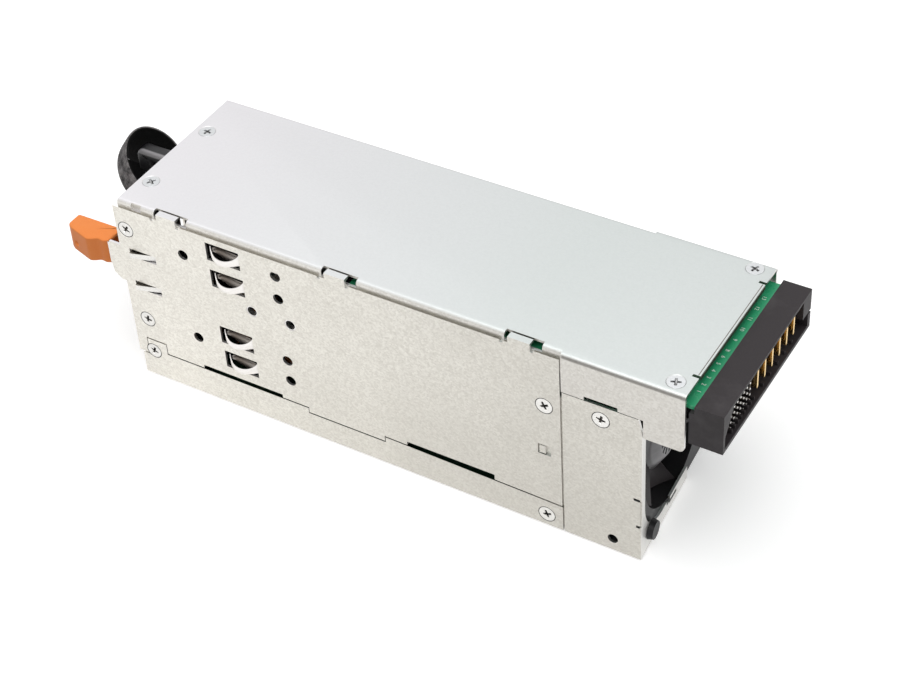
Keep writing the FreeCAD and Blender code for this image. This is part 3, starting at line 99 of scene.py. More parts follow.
def closed_mesh(name, parts, smooth=40.0):
    """A mesh from surface parts given in millimetres: seams and poles merged, normals
    outward, edges sharper than the smooth angle left sharp."""
    vertices, faces = gather(parts)
    mesh = bpy.data.meshes.new(name)
    mesh.from_pydata((vertices * MM).tolist(), [], faces.tolist())
    b = bmesh.new()
    b.from_mesh(mesh)
    bmesh.ops.remove_doubles(b, verts=b.verts, dist=SAME_POINT)
    bmesh.ops.dissolve_degenerate(b, edges=b.edges, dist=NO_LENGTH)
    bmesh.ops.recalc_face_normals(b, faces=b.faces)
    b.to_mesh(mesh)
    b.free()
    mesh.shade_smooth()
    mesh.set_sharp_from_angle(angle=math.radians(smooth))
    return mesh


def in_scene(name, data):
    """A new object for a mesh, lamp, camera or text, linked into the scene."""
    thing = bpy.data.objects.new(name, data)
    bpy.context.scene.collection.objects.link(thing)
    return thing


def piece(name, mesh, material, body, slot, *nodes):
    """An object for a mesh, riding on its body, standing for the CAD nodes given."""
    thing = in_scene(name, mesh)
    mesh.materials.clear()
    mesh.materials.append(material)
    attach(thing, body)
    if nodes:
        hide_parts(*nodes)
    return thing


def case_piece(name, parts, smooth, material, slot, *nodes):
    """A closed piece of the case, from its surface parts."""
    return piece(name, closed_mesh(name, parts, smooth), material, "case", slot, *nodes)


def points_of(mesh):
    """A mesh's points as an array in millimetres."""
    points = np.empty(len(mesh.vertices) * 3)
    mesh.vertices.foreach_get("co", points)
    return points.reshape(-1, 3) / MM


def eased_copy(node, width, material, body, slot, reshape=None):
    """The CAD node's own shape with its sharp edges eased by a small bevel. Where a function
    is given to reshape it, that moves the points (an array in millimetres) first."""
    mesh = frame["nodes"][node].data.copy()
    mesh.name = node + "_eased"
    b = bmesh.new()
    b.from_mesh(mesh)
    bmesh.ops.remove_doubles(b, verts=b.verts, dist=SAME_CAD_POINT)
    bmesh.ops.dissolve_limit(b, angle_limit=FLAT_ANGLE, verts=b.verts, edges=b.edges)
    b.to_mesh(mesh)
    b.free()
    if reshape:
        mesh.vertices.foreach_set("co", (reshape(points_of(mesh)) * MM).ravel())
    if "custom_normal" in mesh.attributes:
        mesh.attributes.remove(mesh.attributes["custom_normal"])
    thing = piece(node + "_eased", mesh, material, body, slot, node)
    bevel = thing.modifiers.new("eased edges", "BEVEL")
    bevel.width = width * MM
    bevel.segments = 2
    bevel.limit_method = "ANGLE"
    bevel.angle_limit = EASED_ANGLE
    bevel.harden_normals = True
    bevel.use_clamp_overlap = True
    mesh.shade_smooth()
    mesh.set_sharp_from_angle(angle=SHARP_ANGLE)
    return thing


# ---------------------------------------------------------------- shader nodes

def feed(tree, value, socket):
    """Joins another socket to this one, or sets it to a number, a vector or a colour."""
    if isinstance(value, bpy.types.NodeSocket):
        tree.links.new(value, socket)
    else:
        socket.default_value = value


def add(tree, kind, *inputs, **values):
    """A shader node of the kind. Named values are properties or sockets, and the others are
    for its first sockets in order."""
    node = tree.nodes.new("ShaderNode" + kind)
    for key, value in values.items():
        if hasattr(node, key):
            setattr(node, key, value)
        else:
            feed(tree, value, node.inputs[key])
    for socket, value in zip(node.inputs, inputs):
        feed(tree, value, socket)
    return node


def noise(tree, place, **values):
    """Noise over a place, as a value."""
    return add(tree, "TexNoise", Vector=place, **values).outputs["Fac"]


def maths(tree, operation, *values):
    """The result of a sum on numbers or sockets."""
    return add(tree, "Math", *values, operation=operation).outputs[0]


def axes(tree, vector):
    """The X, Y and Z of a vector."""
    return add(tree, "SeparateXYZ", vector).outputs[:]


def object_place(tree):
    """The place on the object, in metres."""
    return add(tree, "TexCoord").outputs["Object"]


def facing(tree):
    """The X, Y and Z of the direction that a face looks in."""
    return axes(tree, add(tree, "NewGeometry").outputs["Normal"])


def mix_colour(tree, factor, low, high):
    """A colour between two, by a factor. Each is a socket or three numbers."""
    node = add(tree, "Mix", factor, data_type="RGBA")
    for socket, value in ((node.inputs[6], low), (node.inputs[7], high)):
        feed(tree, (*value, 1.0) if isinstance(value, tuple) else value, socket)
    return node.outputs[2]


def mix_value(tree, factor, low, high):
    """A number between two, by a factor."""
    node = add(tree, "Mix", factor, data_type="FLOAT")
    feed(tree, low, node.inputs[2])
    feed(tree, high, node.inputs[3])
    return node.outputs[0]


def remap(tree, source, low, high, to_low=0.0, to_high=1.0):
    """A value carried from one range to another and held at its ends."""
    return add(tree, "MapRange", source, low, high, to_low, to_high).outputs[0]


def new_material(name):
    """A node material, its tree and its shader."""
    material = bpy.data.materials.new(name)
    material.use_nodes = True
    tree = material.node_tree
    tree.nodes.clear()
    output = add(tree, "OutputMaterial")
    shader = add(tree, "BsdfPrincipled")
    tree.links.new(shader.outputs[0], output.inputs[0])
    return material, tree, shader


def new_group(name, inputs, outputs):
    """A shader node group that reads a place: inputs give their default value."""
    group = bpy.data.node_groups.new(name, "ShaderNodeTree")
    group.interface.new_socket("Vector", in_out="INPUT", socket_type="NodeSocketVector")
    for key, value in inputs.items():
        socket = group.interface.new_socket(key, in_out="INPUT", socket_type="NodeSocketFloat")
        socket.default_value = value
    for key in outputs:
        group.interface.new_socket(key, in_out="OUTPUT", socket_type="NodeSocketFloat")
    start, end = group.nodes.new("NodeGroupInput"), group.nodes.new("NodeGroupOutput")
    return group, start.outputs, end.inputs


def use_group(tree, group, place, **values):
    """Places a shared group in a material with its own values, and gives its outputs."""
    node = tree.nodes.new("ShaderNodeGroup")
    node.node_tree = group
    for key, value in dict(values, Vector=place).items():
        feed(tree, value, node.inputs[key])
    return node.outputs


def zinc_group():
    """Zinc plate: small crystals, finer grain and rolled streaks, as Shade and Height."""
    g, start, end = new_group("zinc plate", {"Size": 1500.0, "Streaks": 0.3},
                              ("Shade", "Height"))
    place = start["Vector"]
    crystals = add(g, "TexVoronoi", Vector=place, Scale=start["Size"])
    crystal = add(g, "SeparateColor", crystals.outputs["Color"]).outputs[0]
    clouds = noise(g, place, Scale=380.0, Detail=5.0, Roughness=0.75)
    rolled = add(g, "Mapping", Vector=place, Scale=(25.0, 1400.0, 1400.0)).outputs[0]
    streaks = noise(g, rolled, Scale=1.0, Detail=4.0)
    blend = mix_value(g, 0.55, crystal, clouds)
    feed(g, mix_value(g, start["Streaks"], blend, streaks), end["Shade"])
    feed(g, blend, end["Height"])
    return g


def scuff_group():
    """Scuffs: thin wandering scratches and soft smudges, as two masks."""
    g, start, end = new_group("scuffs", {"Length": 60.0, "Smudge": 18.0},
                              ("Scratches", "Smudges"))
    place = start["Vector"]
    wave = noise(g, place, Scale=start["Length"], Detail=2.0, Distortion=1.5)
    off_line = maths(g, "ABSOLUTE", maths(g, "SUBTRACT", wave, 0.5))
    line = remap(g, off_line, 0.0, 0.0035, 1.0, 0.0)
    patches = noise(g, place, Scale=start["Smudge"], Detail=4.0, Roughness=0.65)
    feed(g, maths(g, "MULTIPLY", line, remap(g, patches, 0.58, 0.7)), end["Scratches"])
    feed(g, remap(g, patches, 0.5, 0.75), end["Smudges"])
    return g


ZINC = zinc_group()
SCUFFS = scuff_group()
FINE_DEPTH = 0.0001
SHADOW = (0.0, 0.0, 0.0)


def shaded(colour, share):
    """A colour times a share."""
    return tuple(c * share for c in colour)


def finish(tree, shader, colour, rough, height, strength, distance=FINE_DEPTH):
    """Joins a colour, a roughness and a height to the shader."""
    feed(tree, colour, shader.inputs["Base Color"])
    feed(tree, rough, shader.inputs["Roughness"])
    bump = add(tree, "Bump", Strength=strength, Distance=distance, Height=height)
    feed(tree, bump.outputs[0], shader.inputs["Normal"])


# ---------------------------------------------------------------- materials

def steel(name, dark, light, painted_top_tones, streaks, rough, grain, painted_fold_shade=None):
    """Zinc-plated sheet: speckled on upright faces, with stains drifting over it, smudges and
    scratches. Level faces are painted a calmer, cooler tone for the light they reflect, faces
    towards +X a paler painted light, and the sheet is painted darker towards the connector end as
    shade. Where given, a line of painted shade lies under the fold, from x onwards at height z
    of the pair (x, z)."""
    material, tree, shader = new_material(name)
    place = object_place(tree)
    x, _, z = axes(tree, place)
    ahead, _, upward = facing(tree)
    zinc = use_group(tree, ZINC, place, Size=1500.0, Streaks=streaks)
    scuffs = use_group(tree, SCUFFS, place)
    stains = noise(tree, place, Scale=14.0, Detail=4.0, Roughness=0.6)
    colour = mix_colour(tree, remap(tree, zinc["Shade"], 0.25, 0.75), dark, light)
    for mask, tone in (
        (remap(tree, stains, 0.35, 0.7, 0.0, 0.35), shaded(dark, 0.88)),
        (remap(tree, scuffs["Smudges"], 0.0, 1.0, 0.0, 0.12), shaded(dark, 0.8)),
        (remap(tree, scuffs["Scratches"], 0.0, 1.0, 0.0, 0.3), (0.85, 0.85, 0.83)),
        # Painted shade: the sheet grows darker towards the connector end.
        (remap(tree, x, -0.1, 0.07, 0.0, 0.22), SHADOW),
        # Painted light: level faces take the cooler tones, for the light they reflect.
        (remap(tree, upward, 0.5, 0.95, 0.0, 0.9),
         mix_colour(tree, remap(tree, x, -0.11, 0.05), *painted_top_tones)),
        # Painted light: faces towards +X are painted paler.
        (remap(tree, ahead, 0.6, 0.95, 0.0, 0.8), (0.80, 0.79, 0.77)),
    ):
        colour = mix_colour(tree, mask, colour, tone)
    # Painted shade: a dark line under the fold, from the given x onwards, on faces that do not face
    # up.
    if painted_fold_shade:
        start, level = painted_fold_shade
        off_line = maths(tree, "ABSOLUTE", maths(tree, "SUBTRACT", z, level))
        line = remap(tree, off_line, 0.0003, 0.0008, 0.62, 0.0)
        line = maths(tree, "MULTIPLY", line, remap(tree, x, start, start + 0.001))
        line = maths(tree, "MULTIPLY", line, remap(tree, upward, 0.9, 0.97, 1.0, 0.0))
        colour = mix_colour(tree, line, colour, (0.05, 0.045, 0.04))
    shader.inputs["Metallic"].default_value = 1.0
    finish(tree, shader, colour, remap(tree, zinc["Shade"], 0.2, 0.8, rough + 0.06, rough - 0.06),
           zinc["Height"], grain)
    return material


def plastic(name, colour, rough, grain, specular=0.5, shaded_side_share=1.0, wear=0.35):
    """Moulded plastic with a fine spark texture and a few rubbed places. Where a share below one
    is given for the sides, its upright faces are painted darker, to that share of the colour, as
    shade."""
    material, tree, shader = new_material(name)
    place = object_place(tree)
    fine = noise(tree, place, Scale=2600.0, Detail=2.0)
    scuffs = use_group(tree, SCUFFS, place, Length=110.0, Smudge=60.0)
    pale = tuple(min(1.0, c * 1.6 + 0.04) for c in colour)
    base = mix_colour(tree, remap(tree, fine, 0.3, 0.7, 0.0, 0.12), colour, pale)
    for mask, share in (("Scratches", wear), ("Smudges", wear * 0.6)):
        base = mix_colour(tree, remap(tree, scuffs[mask], 0.0, 1.0, 0.0, share), base, pale)
    # Painted shade: upright faces darkened to a share of the colour.
    if shaded_side_share != 1.0:
        upright = remap(tree, facing(tree)[2], 0.15, 0.8, 1.0 - shaded_side_share, 0.0)
        base = mix_colour(tree, upright, base, SHADOW)
    shader.inputs["Specular IOR Level"].default_value = specular
    finish(tree, shader, base, remap(tree, scuffs["Smudges"], 0.0, 1.0, rough, rough - 0.1),
           fine, grain)
    return material


def plated(name, low, high, rough):
    """Bright plated metal with faint streaks."""
    material, tree, shader = new_material(name)
    zinc = use_group(tree, ZINC, object_place(tree), Size=1200.0, Streaks=0.5)
    shader.inputs["Metallic"].default_value = 1.0
    finish(tree, shader, mix_colour(tree, zinc["Shade"], low, high),
           remap(tree, zinc["Shade"], 0.2, 0.8, rough + 0.08, rough - 0.05),
           zinc["Height"], 0.08)
    return material


def tinted(material, mask, colour):
    """The material with another colour wherever the mask is one."""
    tree = material.node_tree
    base = tree.nodes["Principled BSDF"].inputs["Base Color"]
    feed(tree, mix_colour(tree, mask, base.links[0].from_socket, colour), base)
    return material


def tinted_beyond(material, axis, low, high, colour):
    """The material with another colour past a place on one axis, in metres."""
    tree = material.node_tree
    return tinted(material, remap(tree, axes(tree, object_place(tree))[axis], low, high), colour)


def handle_plastic():
    """The handle's black, with a painted grey highlight along its near upper edge."""
    material = plastic("handle moulding", (0.018, 0.0175, 0.019), 0.38, 0.08, 0.3)
    tree = material.node_tree
    _, y, z = axes(tree, object_place(tree))
    low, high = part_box("handle")
    edge = remap(tree, y, low[1] + 0.0016, low[1] + 0.0009)
    top = remap(tree, z, high[2] - 0.0022, high[2] - 0.0014)
    return tinted(material, maths(tree, "MULTIPLY", edge, top), (0.30, 0.29, 0.30))


def rotor_plastic():
    """The fan rotor: brown-grey blades, and a paler hub within 13 mm of the fan's axis."""
    material = plastic("fan moulding", (0.045, 0.040, 0.042), 0.33, 0.06, 0.5)
    tree = material.node_tree
    low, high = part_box("fan_rotor")
    flat = add(tree, "Mapping", Vector=object_place(tree), Scale=(0.0, 1.0, 1.0),
               Location=(0.0, -(low[1] + high[1]) / 2, -(low[2] + high[2]) / 2))
    reach = add(tree, "VectorMath", flat.outputs[0], operation="LENGTH").outputs["Value"]
    hub = remap(tree, reach, 0.0128, 0.0136, 1.0, 0.0)
    return tinted(material, hub, (0.15, 0.145, 0.15))


def latch_steel():
    """The latch's strip: bright, with the upward slopes of its teeth painted a shaded grey."""
    material = plated("latch steel", (0.62, 0.61, 0.58), (0.84, 0.83, 0.80), 0.24)
    tree = material.node_tree
    return tinted(material, remap(tree, facing(tree)[2], 0.05, 0.4), (0.30, 0.285, 0.26))


def strap_cloth():
    """Woven band: grey looped pile outside, black weave inside, picked by the inner mask."""
    material, tree, shader = new_material("strap cloth")
    place = object_place(tree)
    inner = add(tree, "Attribute", attribute_name="inner").outputs["Fac"]
    loops = noise(tree, place, Scale=1100.0, Detail=4.0, Roughness=0.75)
    tufts = maths(tree, "MULTIPLY", loops, noise(tree, place, Scale=260.0, Detail=3.0))
    pile = mix_colour(tree, remap(tree, tufts, 0.14, 0.36), (0.04, 0.038, 0.039),
                      (0.22, 0.21, 0.21))
    weave = mix_colour(tree, loops, (0.0015, 0.0015, 0.0015), (0.006, 0.006, 0.006))
    shader.inputs["Specular IOR Level"].default_value = 0.1
    finish(tree, shader, mix_colour(tree, remap(tree, inner, 0.4, 0.6), pile, weave),
           remap(tree, loops, 0.3, 0.7, 0.8, 0.95), loops, 0.6, 0.0003)
    return material


FOLD_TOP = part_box("top_cover")[1][2]
CHIN_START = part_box("near_side_panel")[1][0]
SIDE_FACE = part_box("near_side_panel")[0][1]
PIN_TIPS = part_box("signal_contacts")[1][0]
# Tones painted on level faces for the cool light they reflect: the first towards the rear, the
# second towards the connector end.
PAINTED_TOP_TONES = ((0.70, 0.69, 0.715), (0.565, 0.60, 0.595))
SIDE_STEEL = steel("side steel", (0.67, 0.645, 0.59), (0.845, 0.825, 0.765), PAINTED_TOP_TONES, 0.15,
                   0.42, 0.2)
# The cover's steel also carries a painted shade line 1.1 mm under its top, along the chin's fold.
COVER_STEEL = steel("cover steel", (0.67, 0.645, 0.60), (0.835, 0.815, 0.77), PAINTED_TOP_TONES, 0.2,
                    0.40, 0.12, (CHIN_START, FOLD_TOP - 0.0011))
BRIGHT_STEEL = plated("spring steel", (0.60, 0.59, 0.56), (0.84, 0.83, 0.80), 0.22)
SCREW_STEEL = plated("screw steel", (0.66, 0.65, 0.63), (0.90, 0.89, 0.87), 0.30)
GOLD = plated("contact gold", (0.70, 0.42, 0.12), (0.95, 0.72, 0.34), 0.22)
COPPER = plated("enamelled copper", (0.16, 0.055, 0.02), (0.36, 0.14, 0.05), 0.30)
BRONZE = plated("sintered bronze", (0.35, 0.24, 0.12), (0.55, 0.42, 0.24), 0.45)
ALUMINIUM = plated("heat sink", (0.62, 0.63, 0.64), (0.80, 0.81, 0.82), 0.38)
# Orange tab: its upright faces are painted to 0.66 of the colour as shade.
ORANGE = plastic("orange tab", (0.93, 0.275, 0.07), 0.5, 0.05, 0.15, 0.66, 0.1)
BLACK = plastic("black moulding", (0.010, 0.0095, 0.0105), 0.4, 0.08, 0.2, wear=0.12)
# Connector moulding: its upright faces are painted to 0.75 of the colour as shade.
CONNECTOR_BLACK = plastic("connector moulding", (0.030, 0.0255, 0.0275), 0.5, 0.15, 0.2, 0.75,
                          0.6)
ROTOR_BLACK = rotor_plastic()
INNER_BOARD = plastic("main board lacquer", (0.004, 0.028, 0.013), 0.3, 0.04, 0.3)
# Spring steel: whatever lies deeper than 0.4 to 2.2 mm behind the side panel's face is painted a
# dark brown shade, for the springs' inner run behind their windows.
SPRING_STEEL = tinted_beyond(
    plated("contact spring steel", (0.74, 0.71, 0.68), (0.90, 0.88, 0.86), 0.30), 1,
    SIDE_FACE + 0.0004, SIDE_FACE + 0.0022, (0.16, 0.135, 0.115))
# Side screws: whatever lies 0.1 to 0.5 mm or more behind the panel's face, the cross recess and the
# head's rim, is painted near black as shade.
SIDE_SCREW_STEEL = tinted_beyond(
    plated("side screw steel", (0.62, 0.61, 0.585), (0.86, 0.85, 0.825), 0.30), 1,
    SIDE_FACE + 0.0001, SIDE_FACE + 0.0005, (0.07, 0.065, 0.06))
# Cover screws: whatever lies 0.1 to 0.6 mm or more under the cover's top, the cross recess and the
# head's rim, is painted grey as shade.
COVER_SCREW_STEEL = tinted_beyond(
    plated("cover screw steel", (0.56, 0.575, 0.585), (0.68, 0.69, 0.70), 0.36), 2,
    FOLD_TOP - 0.0001, FOLD_TOP - 0.0006, (0.24, 0.24, 0.24))
# Pin metal: the pins are painted a dark gold-brown for the shade they lie in, with a pale tin over
# their last millimetre.
TINNED = tinted_beyond(
    plated("pin metal", (0.26, 0.19, 0.10), (0.36, 0.27, 0.15), 0.35), 0,
    PIN_TIPS - 0.0010, PIN_TIPS - 0.0007, (0.95, 0.93, 0.90))
LATCH_STEEL = latch_steel()
HANDLE_BLACK = handle_plastic()
SLEEVE = plastic("can sleeve", (0.02, 0.03, 0.06), 0.25, 0.03)
FERRITE = plastic("ferrite", (0.05, 0.05, 0.052), 0.6, 0.25)
TAPE = plastic("winding tape", (0.62, 0.42, 0.06), 0.35, 0.05)
FILM = plastic("film", (0.60, 0.56, 0.46), 0.3, 0.02)
LENS = plastic("light pipe", (0.55, 0.70, 0.55), 0.2, 0.02)
BOX_YELLOW = plastic("capacitor box", (0.55, 0.42, 0.08), 0.35, 0.05)
CERAMIC = plastic("fuse barrel", (0.65, 0.62, 0.55), 0.25, 0.04)
INK = plastic("pale ink", (0.84, 0.95, 0.86), 0.6, 0.02)
STRAP_CLOTH = strap_cloth()
STRAP_OUT = plastic("strap", (0.10, 0.10, 0.105), 0.85, 0.9)
BOARD_GREEN = plastic("board lacquer", (0.034, 0.38, 0.175), 0.3, 0.04, 0.4)

NODE_MATERIALS = {
    "case_steel": SIDE_STEEL, "cover_steel": COVER_STEEL, "spring_steel": BRIGHT_STEEL,
    "screw_steel": SCREW_STEEL, "orange_plastic": ORANGE, "black_plastic": BLACK,
    "dark_plastic": CONNECTOR_BLACK, "green_board": BOARD_GREEN, "contact_gold": GOLD,
    "tin_pins": SCREW_STEEL, "strap_fabric": STRAP_OUT, "can_sleeve": SLEEVE,
    "ferrite": FERRITE, "winding": TAPE, "copper": COPPER, "heatsink": ALUMINIUM, "film": FILM,
    "lens": LENS, "cap_box": BOX_YELLOW, "fuse_body": CERAMIC, "shaft_steel": SCREW_STEEL,
    "bearing_bronze": BRONZE,
}
SLOT_OF = {row["node"]: row["material_slot"] for row in frame["record"]["subparts"]}
for node_name, node_object in frame["nodes"].items():
    for material_slot in node_object.material_slots:
        material_slot.material = NODE_MATERIALS[SLOT_OF[node_name]]


# ---------------------------------------------------------------- shapes

def smooth_step(low, high, value):
    """Zero at low, one at high, an S-curve between."""
    t = np.clip((value - low) / (high - low), 0.0, 1.0)
    return t * t * (3.0 - 2.0 * t)


def full_circle(count):
    """Evenly spaced angles once round."""
    return np.arange(count) / count * 2.0 * math.pi


def unit(vectors):
    """Each vector of an array, made one long."""
    return vectors / np.linalg.norm(vectors, axis=1)[:, None]


def turned_about_z(angle):
    """The matrix that turns points about Z."""
    c, s = math.cos(angle), math.sin(angle)
    return np.array([[c, -s, 0], [s, c, 0], [0, 0, 1]])


def turned_to(points, axis, place):
    """Carries points made round +Z so that +Z becomes the axis and the origin the place."""
    turn = np.array(Vector((0, 0, 1)).rotation_difference(Vector(axis)).to_matrix())
    return points @ turn.T + np.asarray(place, float)


def spun(profile, count=48):
    """A surface of revolution round Z: each (radius, height) of the profile swept in a
    circle."""
    profile = np.asarray(profile, float)
    angle = full_circle(count)
    r, z = profile[:, :1], np.repeat(profile[:, 1:], count, axis=1)
    return np.stack([r * np.cos(angle), r * np.sin(angle), z], axis=-1)


def rounded_outline(corners, radius, steps=6):
    """A closed outline whose corners are arcs: each arc is a quadratic curve that leaves one
    side and joins the next at the given distance from the corner."""
    corners = np.asarray(corners, float)
    before, after = np.roll(corners, 1, axis=0), np.roll(corners, -1, axis=0)
    a, b = before - corners, after - corners
    la, lb = np.linalg.norm(a, axis=1)[:, None], np.linalg.norm(b, axis=1)[:, None]
    reach = np.minimum(np.broadcast_to(np.reshape(radius, (-1, 1)), la.shape),
                       0.45 * np.minimum(la, lb))
    start, end = corners + a / la * reach, corners + b / lb * reach
    t = np.linspace(0, 1, steps)[None, :, None]
    curve = ((1 - t) ** 2 * start[:, None] + 2 * t * (1 - t) * corners[:, None]
             + t ** 2 * end[:, None])
    return curve.reshape(-1, corners.shape[1])


def round_box(width, height, radius, steps=4):
    """A rectangle of the size given about the origin, with rounded corners."""
    w, h = width / 2, height / 2
    return rounded_outline([(-w, -h), (w, -h), (w, h), (-w, h)], radius, steps)


def inset(outline, distance):
    """The outline (counter-clockwise) moved inwards: each point goes along the mean of its
    two neighbours' normals, lengthened at corners."""
    ahead = np.roll(outline, -1, axis=0) - outline
    normal = np.stack([-ahead[:, 1], ahead[:, 0]], axis=1)
    normal /= np.linalg.norm(normal, axis=1)[:, None] + 1e-12
    both = normal + np.roll(normal, 1, axis=0)
    both /= np.maximum((both ** 2).sum(axis=1)[:, None] / 2, 0.3)
    return outline + both * distance


def pillow(outline, low, high, ease, steps=5):
    """A slab on a closed outline with both rims eased: ring k of each rim is inset by
    ease * (1 - cos a) and raised by ease * (1 - sin a) for a from 90 degrees down to 0."""
    a = np.linspace(math.pi / 2, 0, steps)
    rings = []
    for inward, up in zip(ease * (1 - np.cos(a)), ease * (1 - np.sin(a))):
        flat = inset(outline, inward)
        rings.append(np.column_stack([flat, np.full(len(flat), low + up)]))
    tops = [np.column_stack([ring[:, :2], np.full(len(ring), high - (ring[0, 2] - low))])
            for ring in rings[::-1]]
    return np.array(rings + tops)


def swept(path, across, up, section):
    """A closed section of (u, v) points carried along a path: point = path + u * across
    + v * up, with a direction of each for every path point."""
    return (path[:, None] + section[None, :, :1] * across[:, None]
            + section[None, :, 1:] * up[:, None])


def rounded_curve(points, count):
    """A smooth open line near the points: a uniform cubic B-spline with doubled ends."""
    points = np.asarray(points, float)
    points = np.concatenate([[2 * points[0] - points[1]], points,
                             [2 * points[-1] - points[-2]]])
    t = np.linspace(0, len(points) - 3 - 1e-9, count)
    k = t.astype(int)
    f = (t - k)[:, None]
    weights = ((1 - f) ** 3, 3 * f ** 3 - 6 * f ** 2 + 4, -3 * f ** 3 + 3 * f ** 2 + 3 * f + 1,
               f ** 3)
    return sum(w * points[k + i] for i, w in enumerate(weights)) / 6


def solids_of(node):
    """Lowest and highest corners, in millimetres, of each separate solid of a CAD node."""
    b = bmesh.new()
    b.from_mesh(frame["nodes"][node].data)
    bmesh.ops.remove_doubles(b, verts=b.verts, dist=SAME_CAD_POINT)
    left, boxes = set(b.verts), []
    while left:
        stack, found = [left.pop()], []
        while stack:
            vertex = stack.pop()
            found.append(vertex.co[:])
            for edge in vertex.link_edges:
                other = edge.other_vert(vertex)
                if other in left:
                    left.remove(other)
                    stack.append(other)
        found = np.array(found) / MM
        boxes.append((found.min(axis=0), found.max(axis=0)))
    b.free()
    return sorted(boxes, key=lambda pair: tuple(np.round(pair[0], 2)))


def rows_across(node, digits):
    """The middles across the width, each once, of a CAD node's separate solids."""
    return sorted({round((low[1] + high[1]) / 2, digits) for low, high in solids_of(node)})


def box_of(node):
    """A CAD node's lowest and highest corners in millimetres."""
    low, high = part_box(node)
    return np.array(low[:]) / MM, np.array(high[:]) / MM


# ---------------------------------------------------------------- sheet metal and contacts

# Levels in millimetres: the top of the tray's step from the floor, and from the cover's top
# down to the side panel's top, to the end of the end lip and to the slot under the chin.
STEP_TOP = 18.6
COVER_FOLD = 2.4
LIP_DROP = 1.7
CHIN_SLOT = 16.1
CHIN_SLOT_RAISE = 0.7


def open_seams(points):
    """The side panel drawn back from its neighbours: its lower outline and its seam slots rise
    by 0.25 mm, its top edge sinks by 0.3 mm, sloping 1.2 mm further down towards the inside,
    and its front edge goes back by 0.15 mm."""
    low, high = box_of("near_side_panel")
    x, y, z = points.T.copy()
    inner = y > low[1] + 0.4
    top = np.abs(z - (box_of("top_cover")[1][2] - COVER_FOLD)) < 0.1
    points[:, 2] += 0.25 * ((z > 5) & (z < STEP_TOP))
    points[:, 2] -= 0.3 * top + 1.2 * (top & inner)
    points[:, 0] -= 0.15 * (x > high[0] - 0.05)
    return points


def sink_flange(points):
    """The tray's flange: its upper edge slopes 1.1 mm down towards the inside."""
    near = box_of("chassis")[0][1]
    _, y, z = points.T.copy()
    points[:, 2] -= 1.1 * ((y > near + 0.4) & (y < near + 2.5) & (z > 9.5) & (z < STEP_TOP))
    return points


def short_lip(points):
    """The cover's end lip, drawn up to end 1.7 mm under the top, and the top edge of the slot
    under the chin raised by 0.7 mm, with the opening behind it 0.8 mm longer at each end."""
    low, high = box_of("top_cover")
    x, y, z = points.T.copy()
    lip = (x > high[0] - 2.0) & (y > low[1] + 9) & (y < high[1] - 9)
    points[lip & (z < high[2] - LIP_DROP), 2] = high[2] - LIP_DROP
    slot_top = high[2] - CHIN_SLOT
    chin = (x > CHIN_START / MM + 3) & (y < low[1] + 1.5)
    slot = chin & (np.abs(z - slot_top) < 0.03)
    points[slot, 2] += CHIN_SLOT_RAISE
    behind = (y < low[1] + 4) & (np.abs(z - slot_top + 0.55) < 1.5)
    for end, inward in ((x[slot].min(), 1), (x[slot].max(), -1)):
        points[behind & (np.abs(x - end - 1.5 * inward) < 0.03), 0] -= 0.8 * inward
    return points


def splay_blades(points):
    """Each power blade's fellow, the second of a pair across the width, is set back 1.4 mm at
    its tip and leans 0.35 mm towards the first at its top."""
    low, high = box_of("power_contacts")
    second = np.zeros(len(points), bool)
    for y in rows_across("power_contacts", 2)[1::2]:
        second |= np.abs(points[:, 1] - y) < 0.7
    upper = points[:, 2] > (low[2] + high[2]) / 2
    tip = points[:, 0] > (low[0] + high[0]) / 2
    points[second & upper] += (0, -0.35, 0)
    points[second & tip] += (-1.4, 0, 0)
    return points


RESHAPED = {"near_side_panel": open_seams, "power_contacts": splay_blades,
            "chassis": sink_flange, "top_cover": short_lip}
for node_name, width, material in (
    ("near_side_panel", 0.16, SIDE_STEEL), ("top_cover", 0.28, COVER_STEEL),
    ("fan_bracket", 0.3, SIDE_STEEL), ("chassis", 0.16, SIDE_STEEL),
    ("rear_panel", 0.14, SIDE_STEEL), ("latch_base", 0.06, BRIGHT_STEEL),
    ("dc_connector", 0.22, CONNECTOR_BLACK), ("ac_inlet", 0.3, BLACK),
    ("fan_housing", 0.25, BLACK), ("primary_heatsink", 0.15, ALUMINIUM),
    ("secondary_heatsink", 0.15, ALUMINIUM), ("transformer_core", 0.3, FERRITE),
    ("transformer_winding", 0.6, TAPE), ("input_filter_capacitor", 0.6, BOX_YELLOW),
    ("power_transistors", 0.2, CONNECTOR_BLACK), ("power_contacts", 0.08, GOLD),
    ("signal_contacts", 0.12, TINNED), ("inlet_pins", 0.4, SCREW_STEEL),
    ("main_board", 0.1, INNER_BOARD), ("output_board", 0.1, BOARD_GREEN),
):
    eased_copy(node_name, width, material, "case", SLOT_OF[node_name], RESHAPED.get(node_name))
eased_copy("latch_arm", 0.1, LATCH_STEEL, "latch", "spring_steel")
eased_copy("fan_rotor", 0.12, ROTOR_BLACK, "fan", "black_plastic")


